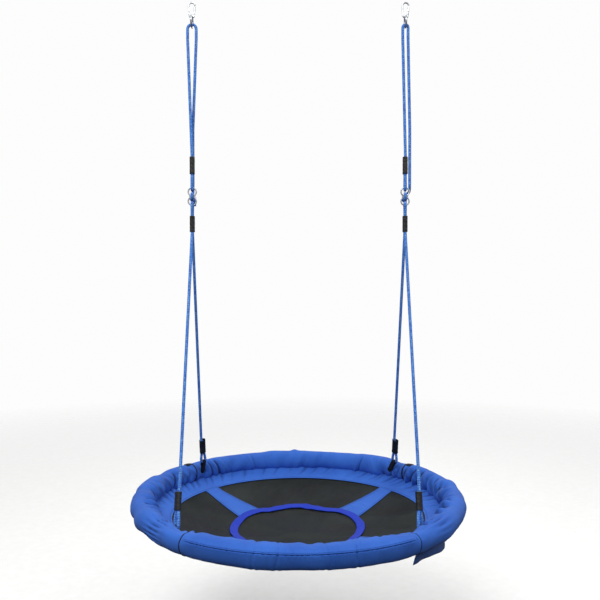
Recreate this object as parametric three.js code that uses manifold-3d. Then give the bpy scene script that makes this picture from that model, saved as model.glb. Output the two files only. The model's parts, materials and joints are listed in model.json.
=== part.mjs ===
// Saucer nest swing: a padded round seat hung on two adjustable ropes.
// Millimetres, +Z up. The origin is the lowest point of the sagging seat cloth, under the centre.
// The ropes hang in the XZ plane at +X and -X. The front of the swing faces -Y.

import * as THREE from 'three';
import { mergeVertices } from 'three/addons/utils/BufferGeometryUtils.js';
import Module from 'manifold-3d';

const wasm = await Module();
wasm.setup();

// ---- driving dimensions ----

const SEAT_DIAMETER = 1000;       // over the padded rim
const COVER_RADIUS = 37;          // outside of the padded rim's round section
const COVER_THICKNESS = 2;
const TUBE_RADIUS = 12.7;         // steel ring, 25.4 mm tube
const TUBE_WALL = 1.5;
const SEAT_SAG = 110;             // seat centre below the ring's plane
const SEAT_THICKNESS = 3;
const STATION_ANGLE = 39;         // rope feet, degrees from the X axis
const CHAIN_X = 322;              // half the distance between the two ropes
const ROPE_RADIUS = 4.5;
const ADJUSTER_HEIGHT = 912;      // centre of the adjuster plate above the ring's plane
const ROPE_TOP = 1434;            // highest point of the rope above the ring's plane
const SLEEVE_LENGTH = 49;
const HOOK_WIRE = 2.5;            // snap hook wire radius, a 50 x 5 mm hook
const GAP = 0.4;                  // clearance between pieces that touch on the real swing

const RING_RADIUS = SEAT_DIAMETER / 2 - COVER_RADIUS;
const RING_HEIGHT = SEAT_SAG + SEAT_THICKNESS;

// ---- materials ----

const FINISHES = {
  blueCloth: { color: 0x2b58bf, roughness: 0.8, metalness: 0 },
  violetWebbing: { color: 0x2a3fbc, roughness: 0.75, metalness: 0 },
  blackCloth: { color: 0x2c2f30, roughness: 0.55, metalness: 0 },
  blackWebbing: { color: 0x14161b, roughness: 0.8, metalness: 0 },
  blackSleeve: { color: 0x17191e, roughness: 0.45, metalness: 0 },
  blueRope: { color: 0x2e6ed2, roughness: 0.7, metalness: 0 },
  greyFoam: { color: 0x6d7176, roughness: 0.95, metalness: 0 },
  zincSteel: { color: 0xb9bdc2, roughness: 0.3, metalness: 0.9 },
  tubeSteel: { color: 0xa4a8ad, roughness: 0.35, metalness: 0.85 },
};

// ---- small helpers ----

const radians = THREE.MathUtils.degToRad;
const point = (x, y, z) => new THREE.Vector3(x, y, z);
const circumscribed = (radius, sides) => radius / Math.cos(Math.PI / sides);

function signedVolume(positions, triangles) {
  const [a, b, c] = [point(), point(), point()];
  let sum = 0;
  for (let i = 0; i < triangles.length; i += 3) {
    a.fromArray(positions, triangles[i] * 3);
    b.fromArray(positions, triangles[i + 1] * 3);
    c.fromArray(positions, triangles[i + 2] * 3);
    sum += a.dot(b.cross(c)) / 6;
  }
  return sum;
}

// A three.js geometry as a manifold solid with its faces pointing out.
function toSolid(geometry) {
  const bare = geometry.clone();
  bare.deleteAttribute('normal');
  bare.deleteAttribute('uv');
  const merged = mergeVertices(bare, 1e-4);
  const positions = new Float32Array(merged.attributes.position.array);
  const triangles = new Uint32Array(merged.index.array);
  if (signedVolume(positions, triangles) < 0) {
    triangles.reverse();
  }
  const mesh = new wasm.Mesh({ numProp: 3, vertProperties: positions, triVerts: triangles });
  return new wasm.Manifold(mesh);
}

function toGeometry(solid) {
  const mesh = solid.getMesh();
  const geometry = new THREE.BufferGeometry();
  geometry.setAttribute('position', new THREE.BufferAttribute(mesh.vertProperties, 3));
  geometry.setIndex(new THREE.BufferAttribute(mesh.triVerts, 1));
  geometry.computeVertexNormals();
  return geometry;
}

const joined = (...solids) => solids.reduce((sum, solid) => sum.add(solid));
const cut = (solid, ...tools) => tools.reduce((rest, tool) => rest.subtract(tool), solid);

// Adds one named mesh, from a geometry or a manifold solid, to a group.
function addPiece(group, name, shape, finish, place = point(0, 0, 0)) {
  const solid = shape.isBufferGeometry ? toSolid(shape) : shape;
  const mesh = new THREE.Mesh(toGeometry(solid), new THREE.MeshStandardMaterial(FINISHES[finish]));
  mesh.name = name;
  mesh.position.copy(place);
  group.add(mesh);
}

// A curve through given stations, swept station by station so that bends are fine and
// straight runs take one step.
class StationCurve extends THREE.Curve {
  constructor(stations) {
    super();
    this.stations = stations;
  }

  get steps() {
    return this.stations.length - 1;
  }

  getPointAt(u, target = point()) {
    return target.copy(this.stations[Math.round(u * this.steps)]);
  }

  getSpacedPoints() {
    return this.stations;
  }

  getTangentAt(u, target = point()) {
    const index = Math.round(u * this.steps);
    target.set(0, 0, 0);
    if (index > 0) {
      const before = point().subVectors(this.stations[index], this.stations[index - 1]);
      target.add(before.normalize());
    }
    if (index < this.steps) {
      const after = point().subVectors(this.stations[index + 1], this.stations[index]);
      target.add(after.normalize());
    }
    return target.normalize();
  }
}

function sweep(section, stations) {
  const path = new StationCurve(stations);
  return new THREE.ExtrudeGeometry(section, { steps: path.steps, extrudePath: path });
}

function ellipse(radiusX, radiusY, sides) {
  const corners = [];
  for (let i = 0; i < sides; i++) {
    const angle = (2 * Math.PI * (i + 0.5)) / sides;
    corners.push(new THREE.Vector2(radiusX * Math.cos(angle), radiusY * Math.sin(angle)));
  }
  return corners;
}

const disc = (radius, sides) => new THREE.Shape(ellipse(radius, radius, sides));

function washer(inner, outer, sides) {
  const shape = disc(outer, sides);
  shape.holes.push(new THREE.Path(ellipse(inner, inner, sides)));
  return shape;
}

// A smooth run of stations through a few guide points.
function smoothRun(guides, steps) {
  const curve = new THREE.CatmullRomCurve3(guides, false, 'centripetal');
  return curve.getSpacedPoints(steps);
}

function arcRun(centre, axisA, axisB, radius, fromDegrees, toDegrees, steps) {
  const stations = [];
  for (let i = 0; i <= steps; i++) {
    const angle = radians(fromDegrees + ((toDegrees - fromDegrees) * i) / steps);
    const station = centre.clone();
    station.addScaledVector(axisA, radius * Math.cos(angle));
    station.addScaledVector(axisB, radius * Math.sin(angle));
    stations.push(station);
  }
  return stations;
}

function block(width, depth, height, x, y, z) {
  return toSolid(new THREE.BoxGeometry(width, depth, height).translate(x, y, z));
}

const AXIS_X = point(1, 0, 0);
const AXIS_Y = point(0, 1, 0);
const AXIS_Z = point(0, 0, 1);

// ---- the ring's centre line: one polygon that every rim piece follows ----

const STEPS_TO_STATION = 4;
const STEPS_PAST_STATION = 5;

function quadrantAngles() {
  const angles = [];
  for (let i = 0; i <= STEPS_TO_STATION; i++) {
    angles.push((STATION_ANGLE * i) / STEPS_TO_STATION);
  }
  for (let i = 1; i <= STEPS_PAST_STATION; i++) {
    angles.push(STATION_ANGLE + ((90 - STATION_ANGLE) * i) / STEPS_PAST_STATION);
  }
  return angles;
}

function polygonAngles() {
  const first = quadrantAngles();
  const half = [...first, ...first.slice(0, -1).reverse().map((angle) => 180 - angle)];
  const turn = [...half, ...half.slice(1).map((angle) => angle + 180)];
  return [...turn.slice(0, -1).map((angle) => angle - 360), ...turn, ...turn.slice(1).map((a) => a + 360)];
}

const RIM_ANGLES = polygonAngles();

function onCircle(degrees, radius = RING_RADIUS, z = 0) {
  return point(radius * Math.cos(radians(degrees)), radius * Math.sin(radians(degrees)), z);
}

// The point of the polygon in a given direction.
function onRim(degrees) {
  const next = RIM_ANGLES.findIndex((angle) => angle > degrees + 1e-9);
  const before = RIM_ANGLES[next - 1];
  const after = RIM_ANGLES[next];
  const half = radians((after - before) / 2);
  const offset = radians(degrees - (before + after) / 2);
  return onCircle(degrees, (RING_RADIUS * Math.cos(half)) / Math.cos(offset));
}

function rimRun(fromDegrees, toDegrees) {
  const inside = RIM_ANGLES.filter((angle) => angle > fromDegrees + 0.3 && angle < toDegrees - 0.3);
  return [onRim(fromDegrees), ...inside.map((angle) => onCircle(angle)), onRim(toDegrees)];
}

const STATIONS = {
  back_right: STATION_ANGLE,
  back_left: 180 - STATION_ANGLE,
  front_left: 180 + STATION_ANGLE,
  front_right: 360 - STATION_ANGLE,
};

// ---- steel ring: four bent tubes with swaged ends, each held by a screw ----

const TUBE_SIDES = 8;
const TUBE_INNER = TUBE_RADIUS - TUBE_WALL;
const SPIGOT_RADIUS = TUBE_INNER - 0.5;
const SPIGOT_INNER = SPIGOT_RADIUS - TUBE_WALL;
const SPIGOT_DEGREES = 6;
const COLLAR_DEGREES = 1.2;       // a solid collar joins the spigot to its tube
const BUTT_DEGREES = 0.15;        // each tube stops this short of its neighbour
const BLEND_DEGREES = 0.2;        // neighbouring sweeps of one tube reach this far into each other
const SCREW_DEGREES = 3;
const SCREW_RADIUS = 1.6;
const SCREW_HEAD_RADIUS = 3.4;
const SCREW_HEAD_HEIGHT = 1.8;
const SCREW_LENGTH = 5;
const SCREW_HOLE_DEPTH = 3;       // past the spigot's wall

function rod(radius, fromZ, toZ, x, y, sides = 8) {
  const height = toZ - fromZ;
  const upright = new THREE.CylinderGeometry(radius, radius, height, sides).rotateX(Math.PI / 2);
  return toSolid(upright.translate(x, y, (fromZ + toZ) / 2));
}

function tubeQuarter(startDegrees) {
  const endDegrees = startDegrees + 90;
  const collarStart = endDegrees - COLLAR_DEGREES;
  const main = washer(TUBE_INNER, TUBE_RADIUS, TUBE_SIDES);
  const collar = washer(SPIGOT_INNER, TUBE_RADIUS, TUBE_SIDES);
  const spigot = washer(SPIGOT_INNER, SPIGOT_RADIUS, TUBE_SIDES);
  const quarter = joined(
    toSolid(sweep(main, rimRun(startDegrees + BUTT_DEGREES, collarStart + BLEND_DEGREES))),
    toSolid(sweep(collar, rimRun(collarStart, endDegrees - BUTT_DEGREES))),
    toSolid(sweep(spigot, rimRun(endDegrees - COLLAR_DEGREES / 2, endDegrees + SPIGOT_DEGREES))),
  );
  const holes = [startDegrees + SCREW_DEGREES, endDegrees + SCREW_DEGREES].map((degrees) => {
    const at = onRim(degrees);
    const holeTop = SCREW_HOLE_DEPTH - SPIGOT_INNER;
    return rod(SCREW_RADIUS + GAP, -TUBE_RADIUS - SCREW_HEAD_HEIGHT, holeTop, at.x, at.y);
  });
  return cut(quarter, ...holes);
}

function tubeScrew(degrees) {
  const at = onRim(degrees);
  const seatZ = -TUBE_RADIUS - GAP;
  return joined(
    rod(SCREW_HEAD_RADIUS, seatZ - SCREW_HEAD_HEIGHT, seatZ, at.x, at.y, 10),
    rod(SCREW_RADIUS, seatZ - 1, seatZ + SCREW_LENGTH, at.x, at.y),
  );
}

function addFrame(seat) {
  ['right', 'back', 'left', 'front'].forEach((side, index) => {
    const joint = index * 90;
    addPiece(seat, `frame_tube_${side}`, tubeQuarter(joint), 'tubeSteel');
    addPiece(seat, `tube_screw_${side}`, tubeScrew(joint + 90 + SCREW_DEGREES), 'zincSteel');
  });
}

// ---- foam pads and cloth cover ----

const PAD_SIDES = 10;
const FOAM_INNER = circumscribed(TUBE_RADIUS + GAP, PAD_SIDES);
const FOAM_OUTER = COVER_RADIUS - COVER_THICKNESS - GAP;
const FOAM_END_DEGREES = 1.7;
const COVER_END_DEGREES = 1.5;
const SLOT = { reach: 60, width: 22, height: 40, middle: -2 };
const POCKET_GAP = 1;             // foam cut away round each screw head
const POCKET_DEPTH = 5;

function foamPad(fromDegrees, toDegrees) {
  const section = washer(FOAM_INNER, FOAM_OUTER, PAD_SIDES);
  const run = rimRun(fromDegrees + FOAM_END_DEGREES, toDegrees - FOAM_END_DEGREES);
  const pad = toSolid(sweep(section, run));
  const pockets = [0, 90, 180, 270, 360, 450].map((joint) => {
    const at = onRim(joint + SCREW_DEGREES);
    return rod(SCREW_HEAD_RADIUS + POCKET_GAP, -TUBE_RADIUS - POCKET_DEPTH, 0, at.x, at.y);
  });
  return cut(pad, ...pockets);
}

function coverSleeve(fromDegrees, toDegrees) {
  const section = washer(COVER_RADIUS - COVER_THICKNESS, COVER_RADIUS, PAD_SIDES);
  return toSolid(sweep(section, rimRun(fromDegrees, toDegrees)));
}

// The opening in the cover's inner side where a foot strap comes out.
function strapSlot(degrees) {
  const slot = block(SLOT.reach, SLOT.width, SLOT.height, -SLOT.reach / 2, 0, SLOT.middle);
  return slot.rotate([0, 0, degrees]).translate(onRim(degrees).toArray());
}

function addPads(seat) {
  const { back_right, back_left, front_left, front_right } = STATIONS;
  addPiece(seat, 'foam_back', foamPad(back_right, back_left), 'greyFoam');
  addPiece(seat, 'foam_left', foamPad(back_left, front_left), 'greyFoam');
  addPiece(seat, 'foam_front', foamPad(front_left, front_right), 'greyFoam');
  addPiece(seat, 'foam_right', foamPad(front_right, back_right + 360), 'greyFoam');
}

const FRONT_COVER_LEFT = 233.5;
const FRONT_COVER_RIGHT = 308;
const BINDING_DEGREES = 1.1;
const BINDING_THICKNESS = 1;
const SEAM_GAP_DEGREES = 0.15;

function binding(fromDegrees) {
  const inner = COVER_RADIUS + GAP;
  const section = washer(inner, inner + BINDING_THICKNESS, PAD_SIDES);
  return toSolid(sweep(section, rimRun(fromDegrees, fromDegrees + BINDING_DEGREES)));
}

// The closure's loose end lies as a thin four-cornered sheet against the underside of the rim.
const FLAP = {
  from: 304.5,
  to: 322.5,
  outward: 16,
  length: 150,
  narrowEnd: 7,
  wideEnd: 20,
  slant: 6,
  thickness: 1.6,
};

function closureFlap() {
  const outline = new THREE.Shape();
  outline.moveTo(0, 0);
  outline.lineTo(FLAP.length, 0);
  outline.lineTo(FLAP.length - FLAP.slant, -FLAP.wideEnd);
  outline.lineTo(0, -FLAP.narrowEnd);
  outline.closePath();
  const sheet = new THREE.ExtrudeGeometry(outline, { depth: FLAP.thickness, bevelEnabled: false });
  sheet.rotateX(Math.PI / 2);
  const from = onCircle(FLAP.from, RING_RADIUS + FLAP.outward);
  const to = onCircle(FLAP.to, RING_RADIUS + FLAP.outward);
  sheet.rotateZ(Math.atan2(to.y - from.y, to.x - from.x));
  return sheet.translate(from.x, from.y, GAP - COVER_RADIUS);
}

function addCover(seat) {
  const { back_right, back_left, front_left, front_right } = STATIONS;
  const back = coverSleeve(back_right + COVER_END_DEGREES, back_left - COVER_END_DEGREES);
  const left = coverSleeve(back_left + COVER_END_DEGREES, FRONT_COVER_LEFT - SEAM_GAP_DEGREES);
  const front = coverSleeve(FRONT_COVER_LEFT, FRONT_COVER_RIGHT);
  const right = coverSleeve(FRONT_COVER_RIGHT + SEAM_GAP_DEGREES, 360 + back_right - COVER_END_DEGREES);
  addPiece(seat, 'cover_back', back, 'blueCloth');
  addPiece(seat, 'cover_left', cut(left, strapSlot(front_left)), 'blueCloth');
  addPiece(seat, 'cover_front', front, 'blueCloth');
  addPiece(seat, 'cover_right', cut(right, strapSlot(front_right)), 'blueCloth');
  addPiece(seat, 'cover_binding_left', binding(FRONT_COVER_LEFT), 'blackWebbing');
  addPiece(seat, 'cover_binding_right', binding(FRONT_COVER_RIGHT - BINDING_DEGREES), 'blackWebbing');
  addPiece(seat, 'closure_flap', closureFlap(), 'blackWebbing');
}

// ---- sagging seat cloth with its band, spokes and centre ring ----

const DISH_K = 78 / 420 ** 2;     // the cloth rises 78 mm from the centre to radius 420
const FLAT_RADIUS = 30;
const PANEL_RADIUS = 384;
const BAND_INNER = 380.5;
const BAND_OUTER = 429;
const WEB_THICKNESS = 2;
const LAYER_GAP = 1.2;
const SEAT_SEGMENTS = 32;
const SPOKE_INNER = 196;
const SPOKE_OUTER = 378;
const SPOKE_WIDTH_INNER = 100;
const SPOKE_WIDTH_OUTER = 52;
const CENTRE_RING_INNER = 186;
const CENTRE_RING_OUTER = 211;

function dishHeight(radius) {
  const rise = Math.max(0, radius ** 2 - FLAT_RADIUS ** 2);
  return DISH_K * rise - SEAT_SAG;
}

// A sheet of revolution that follows the dish, from one offset above it to another.
function dishSheet(inner, outer, low, high, steps) {
  const radii = [];
  for (let i = 0; i <= steps; i++) {
    radii.push(inner + ((outer - inner) * i) / steps);
  }
  const lower = radii.map((radius) => new THREE.Vector2(radius, dishHeight(radius) + low));
  const upper = radii.map((radius) => new THREE.Vector2(radius, dishHeight(radius) + high));
  const profile = [...lower, ...upper.reverse()];
  if (inner > 0) {
    profile.push(profile[0].clone());
  }
  return new THREE.LatheGeometry(profile, SEAT_SEGMENTS).rotateX(Math.PI / 2);
}

function seatPanel() {
  const steps = 7;
  const radii = [0];
  for (let i = 0; i <= steps; i++) {
    radii.push(FLAT_RADIUS + ((PANEL_RADIUS - FLAT_RADIUS) * i) / steps);
  }
  const upper = radii.map((radius) => new THREE.Vector2(radius, dishHeight(radius)));
  const lower = radii.map((radius) => new THREE.Vector2(radius, dishHeight(radius) - SEAT_THICKNESS));
  return new THREE.LatheGeometry([...lower, ...upper.reverse()], SEAT_SEGMENTS).rotateX(Math.PI / 2);
}

function spoke(degrees) {
  const length = SPOKE_OUTER - SPOKE_INNER;
  const sheet = new THREE.BoxGeometry(length, 1, WEB_THICKNESS, 4, 4, 1);
  const place = sheet.attributes.position;
  for (let i = 0; i < place.count; i++) {
    const along = place.getX(i) / length + 0.5;
    const x = SPOKE_INNER + along * length;
    const width = THREE.MathUtils.lerp(SPOKE_WIDTH_INNER, SPOKE_WIDTH_OUTER, along);
    const y = place.getY(i) * width;
    const z = dishHeight(Math.hypot(x, y)) + LAYER_GAP + WEB_THICKNESS / 2 + place.getZ(i);
    place.setXYZ(i, x, y, z);
  }
  return sheet.rotateZ(radians(degrees));
}

function addSeat(seat) {
  addPiece(seat, 'seat_panel', seatPanel(), 'blackCloth');
  const low = LAYER_GAP;
  const high = LAYER_GAP + WEB_THICKNESS;
  addPiece(seat, 'seat_band', dishSheet(BAND_INNER, BAND_OUTER, low, high, 2), 'blueCloth');
  for (const [name, degrees] of Object.entries(STATIONS)) {
    addPiece(seat, `spoke_${name}`, spoke(degrees), 'blueCloth');
  }
  const ring = dishSheet(CENTRE_RING_INNER, CENTRE_RING_OUTER, high + LAYER_GAP, 2 * high, 1);
  addPiece(seat, 'centre_ring', ring, 'violetWebbing');
}

// ---- rope feet: where each leg of a rope meets its strap on the ring ----

const EYE_HALF_WIDTH = 12;        // across the flat-bottomed eye at a rope foot
const EYE_BEND = 6;
const EYE_SWELL = 0.8;            // share of the half width where the eye's sides are widest
const EYE_MIDDLE = 0.55;          // how far up that is, as a share of the way to the sleeve
const TAIL_TRIM = 2;              // the folded-back end stops this far below the sleeve's top
const LEG_START = 3;              // the leg leaves the sleeve this far above its top
const STRAND_OFFSET = ROPE_RADIUS + 0.2;
const APEX_SLEEVE_LOW = 805;
const APEX_SLEEVE_HIGH = 853;
const SLEEVE_WALL = 1.3;
const SLEEVE_NARROW = ROPE_RADIUS + 2.7;
const SLEEVE_WIDE = STRAND_OFFSET + ROPE_RADIUS + 0.9;
const STRAP_THICKNESS = 1.8;
const STRAP_WIDTH = 9;
const STRAP_ROUND_TUBE = 0.8;     // clearance between the strap and the ring's tube
const STRAP_ROUND_ROPE = 0.6;     // clearance between the strap and the rope's eye
const FOOT = {
  front: { radius: 419, height: -5, sleeveLow: 37 },
  back: { radius: 421, height: 43, sleeveLow: 76 },
};

// The frame of one rope foot: eye centre, leg direction, and the direction along the ring.
function footFrame(name) {
  const degrees = STATIONS[name];
  const [end, side] = name.split('_');
  const spec = FOOT[end];
  const eye = onCircle(degrees, spec.radius, spec.height);
  const apexX = side === 'left' ? -CHAIN_X : CHAIN_X;
  const apexY = end === 'front' ? -STRAND_OFFSET : STRAND_OFFSET;
  const apex = point(apexX, apexY, APEX_SLEEVE_LOW);
  const up = point().subVectors(apex, eye).normalize();
  const radial = onCircle(degrees, 1);
  const tangent = point().crossVectors(AXIS_Z, radial);
  const along = tangent.clone();
  along.addScaledVector(up, -along.dot(up)).normalize();
  const sleeveStart = (spec.sleeveLow - spec.height) / up.z;
  return { degrees, eye, apex, up, tangent, along, sleeveStart };
}

function placed(frame, sideways, distance, upDistance) {
  const at = frame.eye.clone();
  at.addScaledVector(sideways, distance);
  return at.addScaledVector(frame.up, upDistance);
}

// Stations from the rope's tail in the sleeve, round the eye, to the sleeve's top.
function eyeRun(frame) {
  const { sleeveStart, tangent, along, up } = frame;
  const top = sleeveStart + SLEEVE_LENGTH;
  const inner = EYE_HALF_WIDTH - EYE_BEND;
  const middle = sleeveStart * EYE_MIDDLE;
  const left = placed(frame, tangent, -inner, EYE_BEND);
  const right = placed(frame, tangent, inner, EYE_BEND);
  return [
    placed(frame, along, -STRAND_OFFSET, top - TAIL_TRIM),
    placed(frame, along, -STRAND_OFFSET, sleeveStart),
    placed(frame, tangent, -EYE_HALF_WIDTH * EYE_SWELL, middle),
    ...arcRun(left, tangent, up, EYE_BEND, 180, 270, 4),
    ...arcRun(right, tangent, up, EYE_BEND, 270, 360, 4),
    placed(frame, tangent, EYE_HALF_WIDTH * EYE_SWELL, middle),
    placed(frame, along, STRAND_OFFSET, sleeveStart),
    placed(frame, along, STRAND_OFFSET, top + LEG_START),
  ];
}

const ROPE_SIDES = 6;
const HOLE_RADIUS = 10.2;         // each of the adjuster's two holes
const RIM_WIDTH = 4;              // material round each hole
const LOBE_RADIUS = HOLE_RADIUS + RIM_WIDTH;
const PLATE_THICKNESS = 5;
const BAR_OFFSET = LOBE_RADIUS + HOLE_RADIUS + RIM_WIDTH / 2;
const BIGHT_RADIUS = 8;           // rope centre line round a bar of the adjuster

// One rope: front foot, front leg, eye in the adjuster, back leg, back foot.
function vRope(side) {
  const front = footFrame(`front_${side}`);
  const back = footFrame(`back_${side}`);
  const x = front.apex.x;
  const bar = ADJUSTER_HEIGHT - BAR_OFFSET;
  const frontStrand = point(x, -STRAND_OFFSET, APEX_SLEEVE_HIGH);
  const backStrand = point(x, STRAND_OFFSET, APEX_SLEEVE_HIGH);
  const stations = [
    ...eyeRun(front),
    front.apex,
    frontStrand,
    ...arcRun(point(x, 0, bar), AXIS_Y, AXIS_Z, BIGHT_RADIUS, 180, 0, 8),
    backStrand,
    back.apex,
    ...eyeRun(back).reverse(),
  ];
  return sweep(disc(ROPE_RADIUS, ROPE_SIDES), stations);
}

function sleeve(length) {
  const sides = 12;
  const shape = new THREE.Shape(ellipse(SLEEVE_NARROW + SLEEVE_WALL, SLEEVE_WIDE + SLEEVE_WALL, sides));
  const hole = ellipse(circumscribed(SLEEVE_NARROW, sides), circumscribed(SLEEVE_WIDE, sides), sides);
  shape.holes.push(new THREE.Path(hole));
  return new THREE.ExtrudeGeometry(shape, { depth: length, bevelEnabled: false });
}

function footSleeve(frame) {
  const across = point().crossVectors(frame.along, frame.up);
  const basis = new THREE.Matrix4().makeBasis(across, frame.along, frame.up);
  basis.setPosition(placed(frame, frame.along, 0, frame.sleeveStart));
  return sleeve(SLEEVE_LENGTH).applyMatrix4(basis);
}

// A closed belt round the ring's tube and the bottom of a rope eye.
function footStrap(frame) {
  const hub = onRim(frame.degrees);
  const reach = Math.hypot(frame.eye.x, frame.eye.y) - Math.hypot(hub.x, hub.y);
  const rise = frame.eye.z;
  const distance = Math.hypot(reach, rise);
  const heading = Math.atan2(rise, reach);
  const outline = (extra) => {
    const big = TUBE_RADIUS + STRAP_ROUND_TUBE + extra;
    const small = ROPE_RADIUS + STRAP_ROUND_ROPE + extra;
    const tilt = Math.acos((big - small) / distance);
    const path = new THREE.Path();
    path.absarc(0, 0, big, heading + tilt, heading - tilt + 2 * Math.PI, false);
    path.absarc(reach, rise, small, heading - tilt, heading + tilt, false);
    path.closePath();
    return path.getPoints(7);
  };
  const shape = new THREE.Shape(outline(STRAP_THICKNESS));
  shape.holes.push(new THREE.Path(outline(0)));
  const options = { depth: STRAP_WIDTH, bevelEnabled: false };
  const belt = new THREE.ExtrudeGeometry(shape, options).translate(0, 0, -STRAP_WIDTH / 2);
  belt.rotateX(Math.PI / 2);
  belt.rotateZ(radians(frame.degrees));
  return belt.translate(hub.x, hub.y, 0);
}

function addLowerRopes(seat) {
  for (const side of ['left', 'right']) {
    addPiece(seat, `v_rope_${side}`, vRope(side), 'blueRope');
    const apex = sleeve(APEX_SLEEVE_HIGH - APEX_SLEEVE_LOW);
    const x = side === 'left' ? -CHAIN_X : CHAIN_X;
    addPiece(seat, `apex_sleeve_${side}`, apex, 'blackSleeve', point(x, 0, APEX_SLEEVE_LOW));
  }
  for (const name of Object.keys(STATIONS)) {
    const frame = footFrame(name);
    addPiece(seat, `foot_sleeve_${name}`, footSleeve(frame), 'blackSleeve');
    addPiece(seat, `foot_strap_${name}`, footStrap(frame), 'blackWebbing');
  }
}

// ---- upper rope, adjuster, ring and snap hook of one side ----

const UPPER_SLEEVE_LOW = 980;
const UPPER_SLEEVE_HIGH = 1031;
const RING_WIRE = 3;
const RING_MAJOR = 17;
const LOOP_BAR = ROPE_TOP - 2 * ROPE_RADIUS - GAP - RING_WIRE;
const HOOK_BAR = LOOP_BAR + 2 * RING_MAJOR - RING_WIRE - HOOK_WIRE - GAP;
const TAIL_START = 31;            // above the adjuster's centre
const TAIL_GAP = 6.5;             // between the running strand and its part in the adjuster
const STRAND_END = UPPER_SLEEVE_HIGH - 20;    // where the two nodes of one rope meet in the sleeve
const STRAND_JOIN_GAP = 2;
const EYE_END = UPPER_SLEEVE_HIGH - 3;
const STRAIGHT_ABOVE_SLEEVE = 4;
const LOOP_STRAIGHT = 30;         // straight rope below the bend over the steel ring
const BESIDE_SLEEVE = 14;         // the running strand is clear of the sleeve this far above it

// How the running strand comes down: the left one behind the sleeve, the right one beside it.
const RUNNING = {
  left: { topHalf: 13, beside: point(0, 16.5, 0) },
  right: { topHalf: 8, beside: point(13.8, 0, 0) },
};

function upperRope(side) {
  const { topHalf, beside } = RUNNING[side];
  const bend = ROPE_TOP - ROPE_RADIUS - topHalf;
  const tailTop = ADJUSTER_HEIGHT + TAIL_START + TAIL_GAP;
  const stations = [
    point(0, -STRAND_OFFSET, STRAND_END),
    point(0, -STRAND_OFFSET, UPPER_SLEEVE_HIGH + STRAIGHT_ABOVE_SLEEVE),
    point(-topHalf, 0, bend - LOOP_STRAIGHT),
    ...arcRun(point(0, 0, bend), AXIS_X, AXIS_Z, topHalf, 180, 0, 10),
    point(topHalf, 0, bend - LOOP_STRAIGHT),
    point(beside.x, beside.y, UPPER_SLEEVE_HIGH + BESIDE_SLEEVE),
    point(beside.x, beside.y, tailTop),
  ];
  return sweep(disc(ROPE_RADIUS, ROPE_SIDES), stations);
}

// The sleeved eye of the upper rope, round the adjuster's top bar.
function ropeEye() {
  const bar = ADJUSTER_HEIGHT + BAR_OFFSET;
  const stations = [
    point(0, -STRAND_OFFSET, STRAND_END - STRAND_JOIN_GAP),
    point(0, -STRAND_OFFSET, UPPER_SLEEVE_LOW),
    ...arcRun(point(0, 0, bar), AXIS_Y, AXIS_Z, BIGHT_RADIUS, 180, 360, 8),
    point(0, STRAND_OFFSET, UPPER_SLEEVE_LOW),
    point(0, STRAND_OFFSET, EYE_END),
  ];
  return sweep(disc(ROPE_RADIUS, ROPE_SIDES), stations);
}

// The running strand's way through the adjuster: in at the top hole from behind, down across
// the front of the web, back through the lower hole, to a stopper knot. About the plate's centre.
const TAIL_GUIDES = {
  left: [point(0, 16.5, TAIL_START), point(0, 17.6, 23), point(0, 14.5, 12.8), point(0, 8, 9.3)],
  right: [point(13.8, 0, TAIL_START), point(14.2, 5.5, 22), point(12.5, 10, 13.5), point(5.5, 10.5, 9.3)],
};
const KNOT_CENTRE = point(0, 16, -5.5);
const KNOT_RADIUS = 9;
const ROPE_END_GUIDES = [KNOT_CENTRE, point(3, 20, -14), point(4, 21, -27)];

function ropeTail(side) {
  const crossing = [
    point(0, 0, 9.1),
    point(0, -7.2, 6.8),
    point(0, -8.6, 0),
    point(0, -7.2, -6.8),
    point(0, 0, -9.1),
    point(0, 8, -8.4),
    KNOT_CENTRE,
  ];
  const strand = sweep(disc(ROPE_RADIUS, ROPE_SIDES), smoothRun([...TAIL_GUIDES[side], ...crossing], 18));
  const knot = new THREE.SphereGeometry(KNOT_RADIUS, 8, 6).translate(...KNOT_CENTRE.toArray());
  const end = sweep(disc(ROPE_RADIUS, ROPE_SIDES), smoothRun(ROPE_END_GUIDES, 4));
  return joined(toSolid(strand), toSolid(knot), toSolid(end));
}

// A figure-of-eight steel plate with rounded edges.
const PLATE_EDGE = 1;
const WEB_WIDTH = 15;
const WEB_TRIM = 1.2;             // the web stays this far off each hole

function adjusterPlate() {
  const edge = PLATE_EDGE;
  const half = PLATE_THICKNESS / 2;
  const sides = 14;
  const inner = circumscribed(HOLE_RADIUS, sides);
  const profile = [
    new THREE.Vector2(inner, -half + edge),
    new THREE.Vector2(inner + edge, -half),
    new THREE.Vector2(LOBE_RADIUS - edge, -half),
    new THREE.Vector2(LOBE_RADIUS, -half + edge),
    new THREE.Vector2(LOBE_RADIUS, half - edge),
    new THREE.Vector2(LOBE_RADIUS - edge, half),
    new THREE.Vector2(inner + edge, half),
    new THREE.Vector2(inner, half - edge),
    new THREE.Vector2(inner, -half + edge),
  ];
  const lobes = [LOBE_RADIUS, -LOBE_RADIUS].map((z) => {
    return toSolid(new THREE.LatheGeometry(profile, sides).translate(0, 0, z));
  });
  const webHeight = 2 * (RIM_WIDTH - WEB_TRIM);
  const web = block(WEB_WIDTH, PLATE_THICKNESS - edge, webHeight, 0, 0, 0);
  return joined(...lobes, web);
}

function steelRing() {
  const ring = new THREE.TorusGeometry(RING_MAJOR, RING_WIRE, 8, 16);
  return ring.rotateY(Math.PI / 2);
}

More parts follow.
